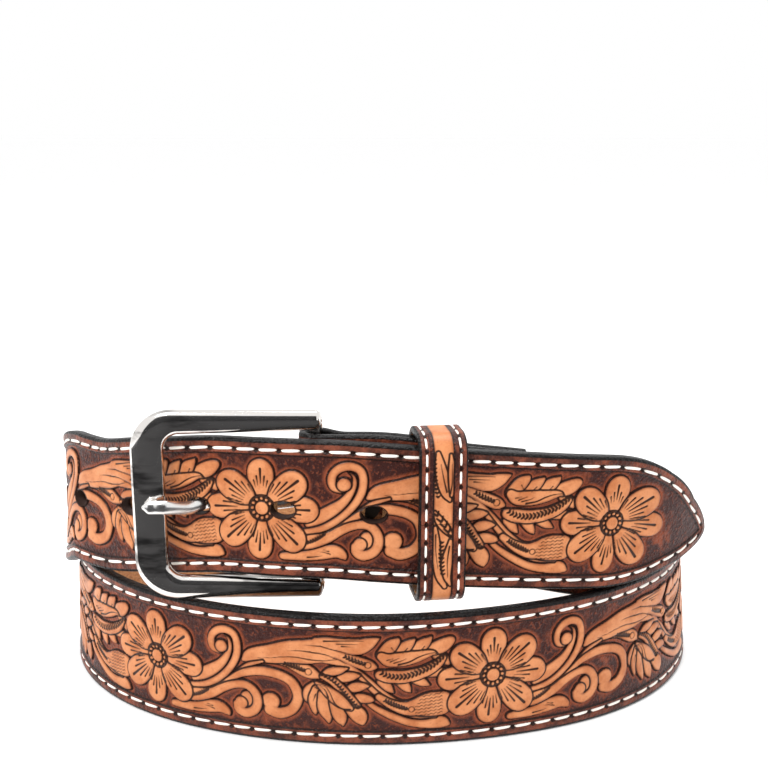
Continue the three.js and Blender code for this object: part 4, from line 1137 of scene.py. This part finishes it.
outline, normals = rounded_outline(0.25)
face_across = np.linspace(-1, 1, 57)
half_band = KEEPER_WIDTH / 2
ring_a = list(face_across * (half_band - .5))
ring_d = [0.0] * len(ring_a)
ring_a += [half_band - .15, half_band, half_band, half_band - .15, half_band - .5]
ring_d += [-.15, -.5, -1.7, -2.05, -2.2]
ring_a += [0, .5 - half_band, .15 - half_band, -half_band, -half_band, .15 - half_band]
ring_d += [-2.2, -2.2, -2.05, -1.7, -.5, -.15]
ring_a, ring_d = np.array(ring_a), np.array(ring_d)
on_face = np.arange(len(ring_a)) < len(face_across)
front = 1.0 * (outline[:, 0] > -KEEPER_DEPTH / 4)[:, None]
a_grid = ring_a[None] + 0 * outline[:, :1]
v_grid = outline[:, 1:2] + 0 * ring_a[None]
edge = (half_band - np.abs(a_grid)) * on_face
band = np.clip((edge - KEEPER_BORDER) / 0.3, 0, 1) * on_face
tooled_part = (band > 0) & (front > 0)
k_inside = np.where(tooled_part,
                    np.minimum(keeper_sample(inside, a_grid, v_grid), edge - KEEPER_BORDER), -9)
k_dark = np.maximum(np.where(tooled_part, keeper_sample(dark, a_grid, v_grid), CLEAR),
                    0.22 - np.abs(edge - KEEPER_BORDER))
stitch_run = np.concatenate([[0], np.cumsum(np.linalg.norm(np.diff(outline, axis=0), axis=1))])
KEEPER_PITCH = stitch_run[-1] / round(stitch_run[-1] / 5.2)
phase = (stitch_run / KEEPER_PITCH)[:, None]
near_end = np.abs(phase - np.round(phase)) * KEEPER_PITCH
# Painted shade: a dark spot at each end of a keeper stitch, where the thread dives into its hole.
k_dark = np.maximum(k_dark, 0.6 - np.hypot(near_end * .9, edge - KEEPER_STITCH))
k_dark = np.where(on_face, np.maximum(k_dark, CLEAR), CLEAR)
k_drop = (ring_d[None] + (keeper_sample(depth, a_grid, v_grid) * band * front
          - .45 * np.clip(1.15 - np.abs(edge - KEEPER_STITCH) / .5, 0, 1)) * on_face)
front_place = [k[0] for k in stations(OVER_HINGE + 35.4)]
back_place = [k[0] for k in stations(HINGE_START + 35.4)]
PLIES = LAYER + 2 * FOLD_THICKNESS + 0.5
keeper_centre = (front_place[0] + back_place[0]) / 2 + front_place[3] * (LAYER / 2 - PLIES / 2)
yaw, roll = math.radians(3), math.radians(5.5)


def from_keeper(a, v, o):
    """Turn band coordinates (along the strap, up, out) into the shared frame."""
    a, o = a * math.cos(yaw) + o * math.sin(yaw), -a * math.sin(yaw) + o * math.cos(yaw)
    a, v = a * math.cos(roll) - v * math.sin(roll), a * math.sin(roll) + v * math.cos(roll)
    return (keeper_centre + a[..., None] * front_place[1] + v[..., None] * front_place[2]
            + o[..., None] * front_place[3])


o_grid = outline[:, 0:1] + normals[:, 0:1] * k_drop
u_grid = outline[:, 1:2] + normals[:, 1:2] * k_drop
keeper_points = from_keeper(a_grid, u_grid, o_grid)
keeper_face = np.where(on_face, 1.0, np.where(ring_d < -2.1, 0.0, 0.5))[None] + 0 * a_grid
keeper_quads = quads(len(outline), len(ring_a), close=True)
keeper = mesh_piece("keeper_visual", keeper_points.reshape(-1, 3), keeper_quads,
                    {"inside": k_inside, "dark": k_dark, "edge": edge * 1.6, "face": keeper_face},
                    strap_leather)
thread_points, thread_faces = [], []
for side in (1, -1):
    for k in np.arange(round(stitch_run[-1] / KEEPER_PITCH)) + .5:
        s = k * KEEPER_PITCH + steps * 4.0 / 2
        pos = np.stack([np.interp(s, stitch_run, outline[:, c]) for c in (0, 1)], -1)
        nor = unit(np.stack([np.interp(s, stitch_run, normals[:, c]) for c in (0, 1)], -1))
        base = len(thread_points) * 8
        for i in range(9):
            down = sink[i] * 0.9
            a = side * (half_band - KEEPER_STITCH) + np.cos(ring) * .42 * size[i]
            r = down + np.sin(ring) * .38 * size[i]
            thread_points.append(from_keeper(a, pos[i, 1] + nor[i, 1] * r, pos[i, 0] + nor[i, 0] * r))
        thread_faces.append(quads(9, 8, close=True) + base)
keeper_stitches = mesh_piece("keeper_stitches", np.array(thread_points).reshape(-1, 3),
                             np.vstack(thread_faces), None, thread)
print("keeper stitches:", len(thread_faces))

# %% [markdown]
# ## Tying the pieces to the model
# Each finished piece stands for the plain CAD piece of the same name. The two rivets need no
# more detail, so the CAD pieces are shown as they are, with a brushed finish.

# %% Ride and replace
STANDS_FOR = [("strap", pieces), ("buckle_frame", [frame_piece, hinge_piece, *lug_pieces]),
              ("buckle_prong", [prong, eye]), ("keeper", [keeper])]
for node, dressed in STANDS_FOR:
    for piece in dressed:
        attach(piece, "root")
        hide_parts(node)
for sewn, slot_name in ((stitches, "strap"), (keeper_stitches, "keeper")):
    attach(sewn, "root")
for name in ("fold_post_1", "fold_post_2"):
    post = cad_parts[name]
    post.data.materials.clear()
    post.data.materials.append(brushed)
print("pieces:", sum(len(dressed) for _, dressed in STANDS_FOR) + 2, "and two carried posts")

# %% [markdown]
# ## Floor, light and camera
# The belt stands on a plain pale floor in soft light from above. The camera looks down a
# little from the front with a medium lens.

# %% Stage
floor_mesh = bpy.data.meshes.new("floor")
floor_mesh.from_pydata([(-40, -4, 0), (40, -4, 0), (40, 80, 0), (-40, 80, 0)], [], [(0, 1, 2, 3)])
floor_mesh.materials.append(plain("floor", (255, 255, 255), 0.9))
floor = bpy.data.objects.new("floor", floor_mesh)
bpy.context.scene.collection.objects.link(floor)
floor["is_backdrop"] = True

world = bpy.data.worlds.new("studio")
world.use_nodes = True
world.node_tree.nodes["Background"].inputs["Color"].default_value = (1, 1, 1, 1)
world.node_tree.nodes["Background"].inputs["Strength"].default_value = 1.0
bpy.context.scene.world = world
bpy.context.scene.view_settings.view_transform = "Standard"


def softbox(name, place, aim, size, watts):
    light = bpy.data.lights.new(name, "AREA")
    light.shape = "SQUARE"
    light.size = size
    light.energy = watts
    lamp = bpy.data.objects.new(name, light)
    lamp.location = place
    lamp.rotation_euler = (Vector(aim) - Vector(place)).to_track_quat("-Z", "Y").to_euler()
    bpy.context.scene.collection.objects.link(lamp)


softbox("key", (-0.35, -0.5, 0.75), (0, 0, 0.05), 0.3, 5)
softbox("top", (0.15, 0.15, 0.9), (0, 0, 0.03), 0.4, 4)
print("lights:", len(bpy.data.lights))

# %% [markdown]
# ## A dark card for the metal
# Polished metal shows what stands round it, and in an all-white studio it turns white. Painting
# it dark would be wrong under any other light. So a dark card stands before the belt, as
# photographers use. Only reflections see it: it throws no shadow, and the camera looks through.

# %% Card
card_mesh = bpy.data.meshes.new("dark_card")
card_mesh.from_pydata([(-0.5, -0.1, 0.002), (0.5, -0.1, 0.002), (0.5, -0.75, 0.002), (-0.5, -0.75, 0.002),
                       (0.5, -0.75, 0.5), (-0.5, -0.75, 0.5)], [], [(0, 1, 2, 3), (3, 2, 4, 5)])
card_mesh.materials.append(plain("dark_card", (34, 34, 36), 0.9))
card = bpy.data.objects.new("dark_card", card_mesh)
bpy.context.scene.collection.objects.link(card)
card.visible_camera = card.visible_diffuse = card.visible_shadow = False
card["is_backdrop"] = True
print("card:", [round(v, 2) for v in card.dimensions], "m")

# %% Camera
lens = bpy.data.cameras.new("camera")
lens.lens = 54.04
lens.sensor_width = 36
camera = bpy.data.objects.new("camera", lens)
camera.location = (0.00194, -0.36932, 0.16967)
camera.rotation_euler = (math.radians(77.84), 0, 0)
bpy.context.scene.collection.objects.link(camera)
bpy.context.scene.camera = camera
print("camera, mm:", [round(v / MM, 1) for v in camera.location])

# %% [markdown]
# ## Measure
# A dense mesh looks fine but can be slow to use, so the triangles are counted. The outside of
# the finished belt is measured and printed.

# %% Count the triangles
counts = {o.name: sum(len(p.vertices) - 2 for p in o.data.polygons)
          for o in bpy.context.scene.objects if o.type == "MESH" and not o.hide_render}
most = max(counts, key=counts.get)
print("triangles:", sum(counts.values()), "in all, at most", counts[most], "in", most)

# %% Measure and finish
low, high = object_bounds()
print("visual box, mm:", [round(v / MM, 2) for v in (*low, *high)])
